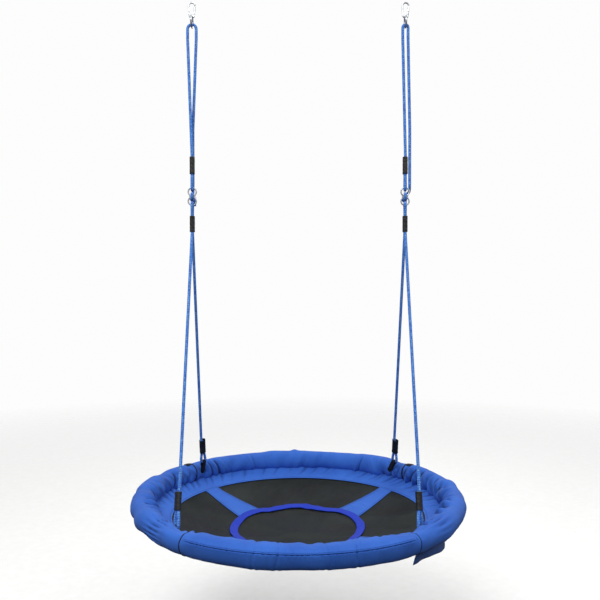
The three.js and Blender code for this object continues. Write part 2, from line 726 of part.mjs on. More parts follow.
const HOOK_LOW_BEND = 7.5;
const HOOK_TOP_BEND = 9.5;
const HOOK_TOP_CENTRE = 35.5;
const GATE_PIN_HEIGHT = 13;
const GATE_TOP = 32.5;
const GATE_RADIUS = 3;
const GATE_BORE = 2;
const TONGUE_HALF = 0.9;
const TONGUE_WIDTH = 3.6;
const TONGUE_MARGIN = 2;          // steel above the pin, and overlap with the wire's end
const PIN_RADIUS = 0.8;
const GATE_LOW = 10.4;
const BORE_TOP = 26;
const FORK_MIDDLE = 12.4;
const FORK_HEIGHT = 8.6;
const BEARING_FLAT = { length: 3, width: 8, depth: 0.5 };  // small flat inside the upper bend

// Where the gate's centre line stands at a given height above the hook's bottom bar.
function gateX(height) {
  const share = (height - HOOK_LOW_BEND) / (HOOK_TOP_CENTRE - HOOK_LOW_BEND);
  return THREE.MathUtils.lerp(HOOK_LOW_BEND, HOOK_TOP_BEND, share);
}

function crossRod(radius, halfLength, x, z, sides = 8) {
  const rodShape = new THREE.CylinderGeometry(radius, radius, 2 * halfLength, sides);
  return toSolid(rodShape.translate(x, 0, z));
}

function snapHook() {
  const low = arcRun(point(0, 0, HOOK_LOW_BEND), AXIS_X, AXIS_Z, HOOK_LOW_BEND, 0, -180, 7);
  const top = arcRun(point(0, 0, HOOK_TOP_CENTRE), AXIS_X, AXIS_Z, HOOK_TOP_BEND, 180, 2, 8);
  const wire = toSolid(sweep(disc(HOOK_WIRE, 8), [...low, ...top]));
  const pinX = gateX(GATE_PIN_HEIGHT);
  const tongueTop = GATE_PIN_HEIGHT + TONGUE_MARGIN;
  const tongueLow = HOOK_LOW_BEND - TONGUE_MARGIN;
  const tongueX = gateX((tongueTop + HOOK_LOW_BEND) / 2);
  const tongueZ = (tongueTop + tongueLow) / 2;
  const tongue = block(TONGUE_WIDTH, 2 * TONGUE_HALF, tongueTop - tongueLow, tongueX, 0, tongueZ);
  const { length, width, depth } = BEARING_FLAT;
  const insideTop = HOOK_TOP_CENTRE + HOOK_TOP_BEND - HOOK_WIRE;
  const bearingCut = block(length, width, 4 * depth, 0, 0, insideTop - depth);
  return cut(joined(wire, tongue), crossRod(PIN_RADIUS + GAP, 3, pinX, GATE_PIN_HEIGHT), bearingCut);
}

function gate() {
  const from = point(gateX(GATE_LOW), 0, GATE_LOW);
  const to = point(gateX(GATE_TOP), 0, GATE_TOP);
  const bar = toSolid(sweep(disc(GATE_RADIUS, 8), [from, to]));
  const bore = toSolid(sweep(disc(GATE_BORE, 8), [from, point(gateX(BORE_TOP), 0, BORE_TOP)]));
  const pinX = gateX(GATE_PIN_HEIGHT);
  const forkGap = 2 * (TONGUE_HALF + GAP);
  const fork = block(2 * GATE_RADIUS + 2, forkGap, FORK_HEIGHT, pinX, 0, FORK_MIDDLE);
  return cut(bar, bore, fork, crossRod(PIN_RADIUS + GAP, 4, pinX, GATE_PIN_HEIGHT));
}

function gateSpring() {
  const turns = 4;
  const stepsPerTurn = 6;
  const low = 17.4;
  const pitch = 1.9;
  const coilRadius = 1.2;
  const stations = [];
  for (let i = 0; i <= turns * stepsPerTurn; i++) {
    const angle = (2 * Math.PI * i) / stepsPerTurn;
    const z = low + (pitch * i) / stepsPerTurn;
    stations.push(point(gateX(z) + coilRadius * Math.cos(angle), coilRadius * Math.sin(angle), z));
  }
  return sweep(disc(0.35, 5), stations);
}

function addChain(swing, side) {
  const chain = new THREE.Group();
  chain.position.set(side === 'left' ? -CHAIN_X : CHAIN_X, 0, RING_HEIGHT);
  swing.add(chain);
  addPiece(chain, `upper_rope_${side}`, upperRope(side), 'blueRope');
  addPiece(chain, `rope_eye_${side}`, ropeEye(), 'blueRope');
  const sleeveShape = sleeve(UPPER_SLEEVE_HIGH - UPPER_SLEEVE_LOW);
  addPiece(chain, `upper_sleeve_${side}`, sleeveShape, 'blackSleeve', point(0, 0, UPPER_SLEEVE_LOW));
  const centre = point(0, 0, ADJUSTER_HEIGHT);
  addPiece(chain, `rope_tail_${side}`, ropeTail(side), 'blueRope', centre);
  addPiece(chain, `adjuster_${side}`, adjusterPlate(), 'zincSteel', centre);
  addPiece(chain, `hanging_ring_${side}`, steelRing(), 'zincSteel', point(0, 0, LOOP_BAR + RING_MAJOR));
  const hook = point(0, 0, HOOK_BAR);
  addPiece(chain, `snap_hook_${side}`, snapHook(), 'zincSteel', hook);
  addPiece(chain, `hook_gate_${side}`, gate(), 'zincSteel', hook);
  addPiece(chain, `gate_spring_${side}`, gateSpring(), 'zincSteel', hook);
  const pin = crossRod(PIN_RADIUS, GATE_RADIUS, gateX(GATE_PIN_HEIGHT), GATE_PIN_HEIGHT);
  addPiece(chain, `gate_pin_${side}`, pin, 'zincSteel', hook);
}

// ---- the whole swing ----

const swing = new THREE.Group();
const seat = new THREE.Group();
seat.position.z = RING_HEIGHT;
swing.add(seat);
addFrame(seat);
addPads(seat);
addCover(seat);
addSeat(seat);
addLowerRopes(seat);
addChain(swing, 'left');
addChain(swing, 'right');

export default swing;
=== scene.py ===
"""Saucer nest swing: padded ring, sagging seat cloth, braided ropes, adjusters and snap hooks.

Metres, +Z up, front at -Y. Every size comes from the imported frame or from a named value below.
"""

import json
import math

import bpy
import numpy as np
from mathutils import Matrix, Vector


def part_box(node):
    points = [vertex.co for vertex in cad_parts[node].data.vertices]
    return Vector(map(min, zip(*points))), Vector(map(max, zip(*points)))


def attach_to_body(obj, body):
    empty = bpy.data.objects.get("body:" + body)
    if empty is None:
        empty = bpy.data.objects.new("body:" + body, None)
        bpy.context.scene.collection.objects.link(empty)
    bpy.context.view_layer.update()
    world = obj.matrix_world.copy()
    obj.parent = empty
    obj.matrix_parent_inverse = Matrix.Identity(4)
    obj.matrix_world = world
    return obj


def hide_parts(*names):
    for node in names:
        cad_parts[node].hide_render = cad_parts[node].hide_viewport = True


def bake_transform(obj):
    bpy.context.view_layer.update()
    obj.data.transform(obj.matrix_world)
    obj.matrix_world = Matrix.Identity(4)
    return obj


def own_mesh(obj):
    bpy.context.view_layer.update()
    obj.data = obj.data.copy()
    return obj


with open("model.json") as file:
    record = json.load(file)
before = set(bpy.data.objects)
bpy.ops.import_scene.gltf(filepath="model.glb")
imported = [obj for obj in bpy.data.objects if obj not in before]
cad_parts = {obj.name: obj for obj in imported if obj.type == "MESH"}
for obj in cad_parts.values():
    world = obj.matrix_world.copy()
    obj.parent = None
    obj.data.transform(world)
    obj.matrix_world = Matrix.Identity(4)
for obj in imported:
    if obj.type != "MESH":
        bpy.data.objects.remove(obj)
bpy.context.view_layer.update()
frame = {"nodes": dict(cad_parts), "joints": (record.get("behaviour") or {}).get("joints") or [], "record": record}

SEED = 11
MM = 0.001
TAU = 2 * math.pi

# ---- places and sizes from the frame ----


def centre(node):
    low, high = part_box(node)
    return np.array((low + high) / 2)


def span(node):
    low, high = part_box(node)
    return np.array(high - low)


COVER_RADIUS = span("cover_back")[2] / 2
RING_Z = centre("cover_back")[2]
RIM_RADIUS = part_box("cover_right")[1].x - COVER_RADIUS
TUBE_RADIUS = span("frame_tube_back")[2] / 2
ROPE_RADIUS = 4.5 * MM
STRAND_OFFSET = ROPE_RADIUS + 0.2 * MM
SIDES = {"left": -1, "right": 1}
CHAIN_X = centre("hanging_ring_right")[0]
SEAT_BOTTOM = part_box("seat_panel")[0].z
STATION = math.degrees(math.atan2(centre("foot_strap_back_right")[1], centre("foot_strap_back_right")[0]))
STATIONS = {
    "back_right": STATION,
    "back_left": 180 - STATION,
    "front_left": 180 + STATION,
    "front_right": 360 - STATION,
}

X = np.array([1.0, 0.0, 0.0])
Y = np.array([0.0, 1.0, 0.0])
Z = np.array([0.0, 0.0, 1.0])


def unit(vectors):
    return vectors / np.linalg.norm(vectors, axis=-1, keepdims=True)


def smoothstep(low, high, value):
    t = np.clip((value - low) / (high - low), 0, 1)
    return t * t * (3 - 2 * t)


def bell(distance, width):
    return np.exp(-((distance / width) ** 2))


def turn_gap(a, b):
    """Signed difference of two angles in degrees, within half a turn."""
    return (a - b + 180) % 360 - 180


def turns(count):
    """Angles that divide a whole turn evenly."""
    return np.arange(count) * TAU / count


def polar(theta, radius, z):
    """Points at angles in radians, distances from the middle and heights."""
    return np.stack(np.broadcast_arrays(radius * np.cos(theta), radius * np.sin(theta), z), axis=-1)


def crossed(u, v):
    """Every u with every v, as two grids."""
    return np.meshgrid(u, v, indexing="ij")


def pairs(u, v):
    """Every u with every v, as one grid of pairs."""
    return np.stack(crossed(u, v), axis=-1)


# ---- shader graphs ----


def rgb(code):
    """A six-digit colour code as the linear values that shaders use."""
    shares = [int(code[k:k + 2], 16) / 255 for k in (0, 2, 4)]
    return tuple(s / 12.92 if s <= 0.04045 else ((s + 0.055) / 1.055) ** 2.4 for s in shares) + (1.0,)


class Value:
    """A node's output in a graph. Arithmetic on it adds Math nodes."""

    def __init__(self, graph, socket):
        self.graph = graph
        self.socket = socket

    def __add__(self, other):
        return self.graph.math("ADD", self, other)

    def __sub__(self, other):
        return self.graph.math("SUBTRACT", self, other)

    def __rsub__(self, other):
        return self.graph.math("SUBTRACT", other, self)

    def __mul__(self, other):
        return self.graph.math("MULTIPLY", self, other)


class Graph:
    """A material's or a world's nodes: each method adds a node and returns its output."""

    def __init__(self, name, holder=None):
        self.holder = holder or bpy.data.materials.new(name)
        self.holder.use_nodes = True
        self.tree = self.holder.node_tree

    def feed(self, value, socket):
        """Links an output to a socket, or sets the socket's value. A string is a colour's code."""
        value = getattr(value, "socket", value)
        if isinstance(value, bpy.types.NodeSocket):
            self.tree.links.new(value, socket)
        else:
            socket.default_value = rgb(value) if isinstance(value, str) else value

    def add(self, kind, inputs=(), output=0, **settings):
        node = self.tree.nodes.new(kind)
        for key, value in settings.items():
            setattr(node, key, value)
        for key, value in dict(inputs).items():
            self.feed(value, node.inputs[key])
        return Value(self, node.outputs[output])

    def math(self, operation, *values):
        return self.add("ShaderNodeMath", enumerate(values), operation=operation)

    def sine(self, value):
        return self.math("SINE", value)

    def split(self, vector):
        made = self.add("ShaderNodeSeparateXYZ", {0: vector})
        return [Value(self, output) for output in made.socket.node.outputs]

    def uv(self):
        return self.split(self.add("ShaderNodeTexCoord", output="UV"))[:2]

    def place(self):
        return self.add("ShaderNodeTexCoord", output="Object")

    def noise(self, vector, scale, detail=2.0):
        return self.add("ShaderNodeTexNoise", {"Vector": vector, "Scale": scale, "Detail": detail})

    def white(self, a, b):
        joined = self.add("ShaderNodeCombineXYZ", {0: a, 1: b})
        return self.add("ShaderNodeTexWhiteNoise", {"Vector": joined}, "Value")

    def stretch(self, vector, x, y, z):
        return self.add("ShaderNodeMapping", {"Vector": vector, "Scale": (x, y, z)})

    def attribute(self, name):
        return self.add("ShaderNodeAttribute", output="Fac", attribute_name=name)

    def remap(self, value, from_low, from_high, to_low=0.0, to_high=1.0):
        return self.add("ShaderNodeMapRange", enumerate((value, from_low, from_high, to_low, to_high)))

    def mix(self, share, a, b):
        return self.add("ShaderNodeMix", {0: share, 6: a, 7: b}, 2, data_type="RGBA")

    def bump(self, height, depth, below=None):
        inputs = {"Strength": 1.0, "Distance": depth, "Height": height}
        if below is not None:
            inputs["Normal"] = below
        return self.add("ShaderNodeBump", inputs)

    def finish(self, **inputs):
        shader = self.tree.nodes["Principled BSDF"]
        for key, value in inputs.items():
            self.feed(value, shader.inputs[key.replace("_", " ")])
        return self.holder


def weave_height(graph, pitch):
    """A plain weave in UV metres: warp and weft threads cross over and under."""
    across, along = (graph.sine(length * (math.pi / pitch)) for length in graph.uv())
    side = graph.math("GREATER_THAN", graph.math("SIGN", across) * graph.math("SIGN", along), 0.0)
    return graph.math("ABSOLUTE", across) * side + graph.math("ABSOLUTE", along) * (1.0 - side)


def cloth_material(name, light, mid, dark, sheen, roughness):
    """Fine woven cloth with painted shade: darker in its creases and between its threads."""
    graph = Graph(name)
    place = graph.place()
    weave = weave_height(graph, 0.9 * MM)
    cloudy = graph.noise(place, 9.0, 3.0)
    fine = graph.noise(place, 260.0)
    base = graph.mix(graph.remap(cloudy, 0.35, 0.65), mid, light)
    # Painted shade: the point attribute darkens the colour in creases and hollows.
    base = graph.mix(graph.attribute("painted_shade") * 0.85, base, dark)
    # Painted shade between the threads: the colour darkens where the weave dips.
    base = graph.mix((1.0 - weave) * 0.22, base, dark)
    return graph.finish(
        Base_Color=base,
        Roughness=graph.remap(cloudy, 0.3, 0.7, roughness - 0.06, roughness + 0.06),
        Sheen_Weight=sheen,
        Sheen_Roughness=0.5,
        Specular_IOR_Level=0.14,
        Normal=graph.bump(fine, 0.25 * MM, graph.bump(weave, 0.12 * MM)),
    )


def panel_material():
    """Black woven sheet with a faint greenish sheen, lighter greenish streaks painted into its colour for more
    sheen, painted shade, and faint pressed creases.
    """
    graph = Graph("black_seat_cloth")
    place = graph.place()
    weave = weave_height(graph, 1.6 * MM)
    sheen_streaks = graph.noise(graph.stretch(place, 3.0, 7.0, 3.0), 1.6, 4.0)
    cloudy = graph.noise(place, 5.0, 3.0)
    # Painted sheen: lighter greenish streaks over the black cloth's own colour.
    base = graph.mix(graph.remap(sheen_streaks, 0.35, 0.68), "070C10", "1C241F")
    # Painted shade in the sheet's hollows and near its edge, from the point attribute, and between its threads.
    base = graph.mix(graph.attribute("painted_shade") * 0.8, base, "0B0C0C")
    base = graph.mix((1.0 - weave) * 0.35, base, "0C0D0D")
    return graph.finish(
        Base_Color=base,
        Roughness=graph.remap(cloudy, 0.3, 0.7, 0.42, 0.58),
        Sheen_Weight=0.03,
        Sheen_Roughness=0.4,
        Sheen_Tint="A3AB98",
        Specular_IOR_Level=0.14,
        Normal=graph.bump(cloudy, 1.2 * MM, graph.bump(weave, 0.22 * MM)),
    )


def webbing_material(name, light, dark, pitch=2.2 * MM):
    """Ribbed narrow webbing: bars across, fine twill along."""
    graph = Graph(name)
    u, v = graph.uv()
    bars = graph.math("ABSOLUTE", graph.sine(u * (math.pi / pitch)))
    twill = graph.math("ABSOLUTE", graph.sine((u * 0.7 + v) * (math.pi / (pitch * 0.6))))
    height = bars * 0.6 + twill * 0.4
    fuzz = graph.noise(graph.place(), 420.0)
    return graph.finish(
        # Painted shade: darker in the hollows between the ribs and twill lines.
        Base_Color=graph.mix(graph.remap(height, 0.1, 0.9), dark, light),
        Roughness=graph.remap(fuzz, 0.3, 0.7, 0.68, 0.88),
        Sheen_Weight=0.05,
        Specular_IOR_Level=0.14,
        Normal=graph.bump(fuzz, 0.15 * MM, graph.bump(height, 0.25 * MM)),
    )


def rope_material():
    """Braided rope: UV holds the strand number round the rope and the braid cell along it."""
    graph = Graph("blue_braided_rope")
    u, v = graph.uv()
    right, left = u + v, u - v
    cells = [graph.math("FLOOR", turn) for turn in (right, left)]
    parity = graph.math("PINGPONG", cells[0] + cells[1], 1.0)
    tone = graph.white(*cells)
    yarn = graph.mix(tone, "2F78E4", "7ABBFF")
    counter = graph.mix(tone, "1B52B8", "3F90F0")
    crowns = [graph.sine(graph.math("FRACT", turn) * math.pi) for turn in (right, left)]
    groove = graph.math("POWER", 1.0 - crowns[0] * crowns[1], 4.0)
    fibres = graph.sine((right - left) * 26.0)
    fuzz = graph.noise(graph.place(), 900.0, 1.0)
    return graph.finish(
        # Painted shade: the grooves between the yarns are darkened.
        Base_Color=graph.mix(groove * 0.75, graph.mix(parity, yarn, counter), "0D2B6B"),
        Roughness=graph.remap(fuzz, 0.3, 0.7, 0.5, 0.7),
        Sheen_Weight=0.25,
        Specular_IOR_Level=0.35,
        Normal=graph.bump(fuzz, 0.12 * MM, graph.bump(fibres, 0.05 * MM)),
    )


def sleeve_material():
    graph = Graph("black_shrink_sleeve")
    place = graph.place()
    ribs = graph.noise(graph.stretch(place, 1.0, 1.0, 0.08), 420.0)
    scuffs = graph.noise(place, 60.0, 3.0)
    return graph.finish(
        Base_Color=graph.mix(graph.remap(scuffs, 0.45, 0.75), "0F1114", "1C1F24"),
        Roughness=graph.remap(scuffs, 0.3, 0.7, 0.34, 0.52),
        Specular_IOR_Level=0.5,
        Normal=graph.bump(ribs, 0.3 * MM),
    )


def steel_material(name, tint, roughness, grain):
    """Metal with a cloudy coat and fine scratches, drawn out along Z where grain is small."""
    graph = Graph(name)
    place = graph.place()
    cloud = graph.noise(place, 140.0, 3.0)
    scratch = graph.noise(graph.stretch(place, 1.0, 1.0, grain), 900.0)
    return graph.finish(
        Base_Color=graph.mix(graph.remap(cloud, 0.35, 0.65), tint, "B2B7BE"),
        Metallic=0.9,
        Roughness=graph.remap(cloud, 0.3, 0.7, roughness - 0.07, roughness + 0.09),
        Normal=graph.bump(scratch, 0.03 * MM),
    )


def foam_material():
    graph = Graph("grey_foam_cells")
    place = graph.place()
    cells = graph.add("ShaderNodeTexVoronoi", {"Vector": place, "Scale": 700.0}, "Distance")
    cloud = graph.noise(place, 40.0)
    base = graph.mix(cloud, "62666B", "7C8086")
    # Painted shade in the foam's pores: darker in each cell's pit.
    base = graph.mix(graph.remap(cells, 0.0, 0.4, 0.6, 0.0), base, "3A3D40")
    return graph.finish(Base_Color=base, Roughness=0.95, Normal=graph.bump(cells, 0.5 * MM))


MATERIALS = {
    "blue_cloth": cloth_material("blue_oxford_cloth", "386CCB", "2F60BD", "0F2762", 0.06, 0.78),
    "violet_webbing": webbing_material("violet_webbing_ribs", "1F3CBE", "14298A"),
    "black_cloth": panel_material(),
    "black_webbing": webbing_material("black_webbing_ribs", "1B1D21", "0B0C0F"),
    # The flap's cloth is the cover's blue darkened to navy: painted shade under the rim.
    "shaded_flap_cloth": cloth_material("flap_cloth_painted_shade", "21407C", "1B3568", "0C1730", 0.2, 0.8),
    "thread": webbing_material("blue_thread", "2A4FA8", "1C3B86", 0.6 * MM),
    "blue_rope": rope_material(),
    "black_sleeve": sleeve_material(),
    "zinc_steel": steel_material("zinc_plated_steel", "DCE0E4", 0.3, 1.0),
    "tube_steel": steel_material("drawn_tube_steel", "B4B8BD", 0.34, 0.05),
    "grey_foam": foam_material(),
}


# ---- mesh building ----


def grid_corners(nu, nv, close_u=False, close_v=False, flip=False):
    """The four corners of every cell of a grid, as pairs of index arrays."""
    cells = pairs(np.arange(nu if close_u else nu - 1), np.arange(nv if close_v else nv - 1)).reshape(-1, 2)
    i, j = cells.T
    corners = [(i, j), (i + 1, j), (i + 1, j + 1), (i, j + 1)]
    return corners[::-1] if flip else corners


def corner_values(corners, grid):
    """A grid's values at each cell's corners, in the order of the faces."""
    return np.stack([grid[i, j] for i, j in corners], axis=-2).reshape(-1, 2)


def add_to_scene(name, data):
    made = bpy.data.objects.new(name, data)
    bpy.context.scene.collection.objects.link(made)
    return made


def make_object(name, points, faces, corner_uv, material):
    mesh = bpy.data.meshes.new(name)
    mesh.from_pydata(points.reshape(-1, 3).tolist(), [], faces)
    layer = mesh.uv_layers.new(name="UVMap")
    layer.data.foreach_set("uv", corner_uv.astype(np.float32).ravel())
    mesh.polygons.foreach_set("use_smooth", np.ones(len(faces), bool))
    mesh.materials.append(MATERIALS[material])
    mesh.update()
    made = add_to_scene(name, mesh)
    return made


def grid_piece(name, points, uv, material, close_u=False, close_v=False, caps=False, flip=False):
    """An object from a grid of points. uv has one more row or column in a closed direction."""
    nu, nv = points.shape[:2]
    if uv is None:
        uv = np.zeros((nu + 1, nv + 1, 2))
    corners = grid_corners(nu, nv, close_u, close_v, flip)
    quads = np.stack([(i % nu) * nv + j % nv for i, j in corners], axis=-1)
    corner_uv = corner_values(corners, uv)
    faces = quads.tolist()
    if caps:
        first = list(range(nv))
        last = [(nu - 1) * nv + k for k in range(nv)]
        faces += [first, last[::-1]] if flip else [first[::-1], last]
        corner_uv = np.vstack([corner_uv, np.zeros((2 * nv, 2))])
    return make_object(name, points, faces, corner_uv, material)


def closed_piece(name, points, material, uv=None, flip=True):
    """An object from a grid that is closed both ways."""
    return grid_piece(name, points, uv, material, close_u=True, close_v=True, flip=flip)


def attach(piece, body, *replaced):
    """The piece moves with a body and stands for the CAD nodes that are named."""
    if replaced:
        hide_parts(*replaced)
    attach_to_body(piece, body)


def finish_sheet(piece, painted_shade, thickness, replaced, offset=-1.0):
    """Gives the seat's cloth its painted shade in creases and hollows, as a point attribute that darkens its
    colour, and its thickness, on its inner side by default.
    """
    # Painted shade: this point attribute darkens the cloth's colour in its creases and hollows.
    layer = piece.data.attributes.new("painted_shade", "FLOAT", "POINT")
    layer.data.foreach_set("value", painted_shade.astype(np.float32).ravel())
    shell = piece.modifiers.new("thickness", "SOLIDIFY")
    shell.thickness = thickness
    shell.offset = offset
    shell.use_even_offset = False
    attach(piece, "seat", replaced)


def arc(centre_point, a, b, radius, start, end, count):
    angles = np.radians(np.linspace(start, end, count))[:, None]
    return centre_point + radius * (np.cos(angles) * a + np.sin(angles) * b)


def lengths_along(path):
    steps = np.linalg.norm(np.diff(path, axis=0), axis=1)
    return np.concatenate([[0.0], np.cumsum(steps)])


def resample(path, step):
    length = lengths_along(path)
    count = max(3, int(round(length[-1] / step)) + 1)
    wanted = np.linspace(0, length[-1], count)
    return np.stack([np.interp(wanted, length, path[:, k]) for k in range(3)], axis=1)


def relax(path, rounds):
    """Rounds off the corners of a path, keeping its ends."""
    path = path.copy()
    for _ in range(rounds):
        path[1:-1] = 0.25 * path[:-2] + 0.5 * path[1:-1] + 0.25 * path[2:]
    return path


def frames_along(path, first):
    """Side and upper side at each station, turned as little as possible."""
    tangents = unit(np.gradient(path, axis=0))
    side = unit(np.cross(tangents[0], first))
    sides = []
    for tangent in tangents:
        side = unit(side - tangent * (side @ tangent))
        sides.append(side)
    sides = np.array(sides)
    return sides, np.cross(tangents, sides)


def tube_points(path, radius, count, first):
    """Rings of points round a path. radius is a number or an array (stations, count)."""
    side, upper = frames_along(path, first)
    angles = turns(count)[None, :, None]
    spread = np.broadcast_to(radius, (len(path), count))[..., None]
    return path[:, None] + spread * (np.cos(angles) * side[:, None] + np.sin(angles) * upper[:, None])


def wire(name, path, radius, first, sides=20):
    """A round steel bar along a path, with a radius for each station."""
    points = tube_points(path, np.asarray(radius)[:, None], sides, first)
    uv = pairs(lengths_along(path), np.linspace(0, 0.02, sides + 1))
    return grid_piece(name, points, uv, "zinc_steel", close_v=True, caps=True)


def strip_points(path, tangents, across, width, thickness, side_steps, rounding):
    """The closed section of a flat band at each station, and where its points lie across the width."""
    tangents = unit(tangents)
    across = unit(across - tangents * np.sum(across * tangents, axis=1)[:, None])
    up = np.cross(tangents, across)
    shares = np.linspace(-1, 1, side_steps)
    half_height = 0.5 * (1 - rounding * np.abs(shares) ** 6)
    shares = np.concatenate([shares, shares[::-1]])
    heights = np.concatenate([half_height, -half_height[::-1]])[:, None] * thickness
    half = np.broadcast_to(width, len(path))[:, None, None] / 2
    return path[:, None] + shares[:, None] * half * across[:, None] + heights * up[:, None], shares


def strip_piece(name, path, across, width, thickness):
    """A short steel strip along a path: across is its width direction, width may vary."""
    points, shares = strip_points(path, np.gradient(path, axis=0), across, width, thickness, 6, 0.55)
    uv = pairs(lengths_along(path), np.append(shares, shares[0]) * np.mean(width) / 2)
    return grid_piece(name, points, uv, "zinc_steel", close_v=True, caps=True, flip=True)


def ring_noise(angles, lowest, highest, seed, fall=0.5):
    """Smooth periodic noise round a turn, made of waves of lowest to highest per turn."""
    random = np.random.default_rng(seed)
    total = np.zeros_like(angles)
    weight = 0.0
    for waves in range(lowest, highest + 1):
        size = waves ** (-fall) * random.uniform(0.4, 1.0)
        total = total + size * np.sin(waves * angles + random.uniform(0, TAU))
        weight += size**2 / 2
    return total / math.sqrt(weight)


# ---- the padded rim ----

RIM_COLUMNS = 560               # the simulated grid: columns round the ring, rows round its section
RIM_ROWS = 46
LOOSE_FIT = 2.4 * MM            # the cloth starts this far inside the cover's radius
FARTHEST_PUSH = 9 * MM          # the simulation moves no point farther
FRAMES = 20
CLOTH_SETTINGS = {
    "quality": 5,
    "mass": 0.25,
    "tension_stiffness": 12,
    "compression_stiffness": 12,
    "bending_stiffness": 0.08,
    "use_pressure": True,
    "uniform_pressure_force": 4.0,
    "vertex_group_mass": "held",
    "vertex_group_shrink": "spare",
    "shrink_min": 0.0,
    "shrink_max": -0.13,            # spare cloth grows by up to this share
}
FRONT_LEFT_END = 233.5          # the front cover's ends, degrees from the X axis
FRONT_RIGHT_END = 308.0
SIDE_COVER_END = 36.3           # the side covers' back ends
STRAP_AT_TUBE = {"back_right": 44.0, "back_left": 139.2}    # where the leaning back straps hold the tube
SEAM_PHI = 25.0                 # the front cover's long seam, degrees above its outer side
BAND_PHI = 235                  # where the seat's band holds the cover from below


def rim_section(theta, phi):
    """The folds drawn on the padding before it is inflated, in metres."""
    inner = smoothstep(-0.2, 0.9, -np.cos(phi))
    sides = smoothstep(0.35, 0.95, np.abs(np.cos(theta)))
    lean = 0.035 * np.sin(phi + 6 * np.sin(3 * theta))
    folds = ring_noise(theta + lean, 34, 96, SEED) * (0.12 + 1.2 * inner + 2.8 * inner * sides)
    waves = ring_noise(theta - 2 * lean, 5, 24, SEED + 1, 0.2) * (1.1 + 0.6 * sides)
    return (folds + waves) * MM


PINCHES = (                     # where the rim is pulled in: angle, half width in degrees, depth
    (228.0, 9.0, 14 * MM),
    (309.0, 11.0, 13 * MM),
    (270.0, 34.0, 4 * MM),
    (STATIONS["back_left"], 6.5, 4 * MM),
    (STATIONS["back_right"], 6.5, 4 * MM),
)
DEEPEST_PINCH = 17 * MM         # the steel tube lies below this


def pinch_at_feet(theta, phi):
    """No foam lies under the foot straps, so the cloth sinks on its upper inner side there."""
    upper_inner = smoothstep(-0.1, 0.8, np.cos(phi - math.radians(120)))
    depth = 0 * theta
    for angle, width, size in PINCHES:
        depth = depth + size * bell(turn_gap(np.degrees(theta), angle), width)
    return np.minimum(depth, DEEPEST_PINCH) * upper_inner


def rim_base():
    """The padding's surface before it is inflated, with its angles round the ring and the section."""
    theta, phi = crossed(turns(RIM_COLUMNS), turns(RIM_ROWS))
    reach = COVER_RADIUS - LOOSE_FIT + rim_section(theta, phi) - pinch_at_feet(theta, phi)
    front = smoothstep(0.15, 0.9, -np.sin(theta))
    height = reach * (1 - 0.02 * front) * np.sin(phi) - 3.2 * MM * front
    return polar(theta, RIM_RADIUS + reach * np.cos(phi), RING_Z + height), theta, phi


def inflate(points, excess, pinned, farthest):
    """Cloth simulation of a closed grid with spare cloth where excess is high; returns the new grid."""
    nu, nv = points.shape[:2]
    body = closed_piece("rim_simulation", points, "blue_cloth", flip=False)
    spare = body.vertex_groups.new(name="spare")
    held = body.vertex_groups.new(name="held")
    for index, (share, hold) in enumerate(zip(excess.ravel(), pinned.ravel())):
        spare.add([index], float(share), "REPLACE")
        if hold > 0:
            held.add([index], float(hold), "REPLACE")
    cloth = body.modifiers.new("cloth", "CLOTH")
    for key, value in CLOTH_SETTINGS.items():
        setattr(cloth.settings, key, value)
    cloth.settings.effector_weights.gravity = 0
    cloth.collision_settings.use_collision = False
    cloth.collision_settings.use_self_collision = False
    scene = bpy.context.scene
    cloth.point_cache.frame_start = 1
    cloth.point_cache.frame_end = FRAMES
    for number in range(1, FRAMES + 1):
        scene.frame_set(number)
    evaluated = body.evaluated_get(bpy.context.evaluated_depsgraph_get())
    moved = np.empty(nu * nv * 3, np.float32)
    evaluated.data.vertices.foreach_get("co", moved)
    moved = moved.reshape(nu, nv, 3).astype(float)
    mesh = body.data
    bpy.data.objects.remove(body)
    bpy.data.meshes.remove(mesh)
    scene.frame_set(1)
    shift = moved - points
    size = np.linalg.norm(shift, axis=-1, keepdims=True)
    return points + shift * np.minimum(1, farthest / np.maximum(size, 1e-9))


def simulate_rim():
    """The rim's surface as a grid: inflated, with more spare cloth on its inner side at left and right."""
    points, theta, phi = rim_base()
    inner = smoothstep(-0.5, 0.9, -np.cos(phi))
    sides = smoothstep(0.2, 0.95, np.abs(np.cos(theta)))
    front = smoothstep(0.3, 0.9, -np.sin(theta))
    excess = np.clip(0.25 + (0.35 + 0.4 * sides) * inner - 0.15 * front, 0, 1)
    pinned = np.where(bell((phi - math.radians(BAND_PHI)) % TAU, 0.08) > 0.5, 1.0, 0.0)
    free = 1 - 0.85 * smoothstep(0, 12 * MM, pinch_at_feet(theta, phi))
    return inflate(points, excess, pinned, FARTHEST_PUSH * free[..., None])


RIM = simulate_rim()


def cubic_at(values, places, axis):
    """Periodic cubic interpolation of a grid along one axis."""
    count = values.shape[axis]
    floor = np.floor(places).astype(int)
    t = places - floor
    weights = [
        -0.5 * t + t**2 - 0.5 * t**3,
        1 - 2.5 * t**2 + 1.5 * t**3,
        0.5 * t + 2 * t**2 - 1.5 * t**3,
        -0.5 * t**2 + 0.5 * t**3,
    ]
    shape = [1, 1, 1]
    shape[axis] = -1
    total = 0
    for k, weight in enumerate(weights):
        picked = np.take(values, (floor + k - 1) % count, axis=axis)
        total = total + picked * weight.reshape(shape)
    return total


def rim_surface(thetas, phis):
    """Points and outward normals of the inflated rim at angles in degrees."""
    along = cubic_at(RIM, np.asarray(thetas) / 360 * RIM_COLUMNS, 0)
    points = cubic_at(along, np.asarray(phis) / 360 * RIM_ROWS, 1)
    normal = unit(np.cross(np.gradient(points, axis=0), np.gradient(points, axis=1)))
    hub = polar(np.radians(thetas), RIM_RADIUS, RING_Z)
    outward = np.sum(normal * (points - hub[:, None]), axis=-1, keepdims=True)
    return points, normal * np.sign(outward)


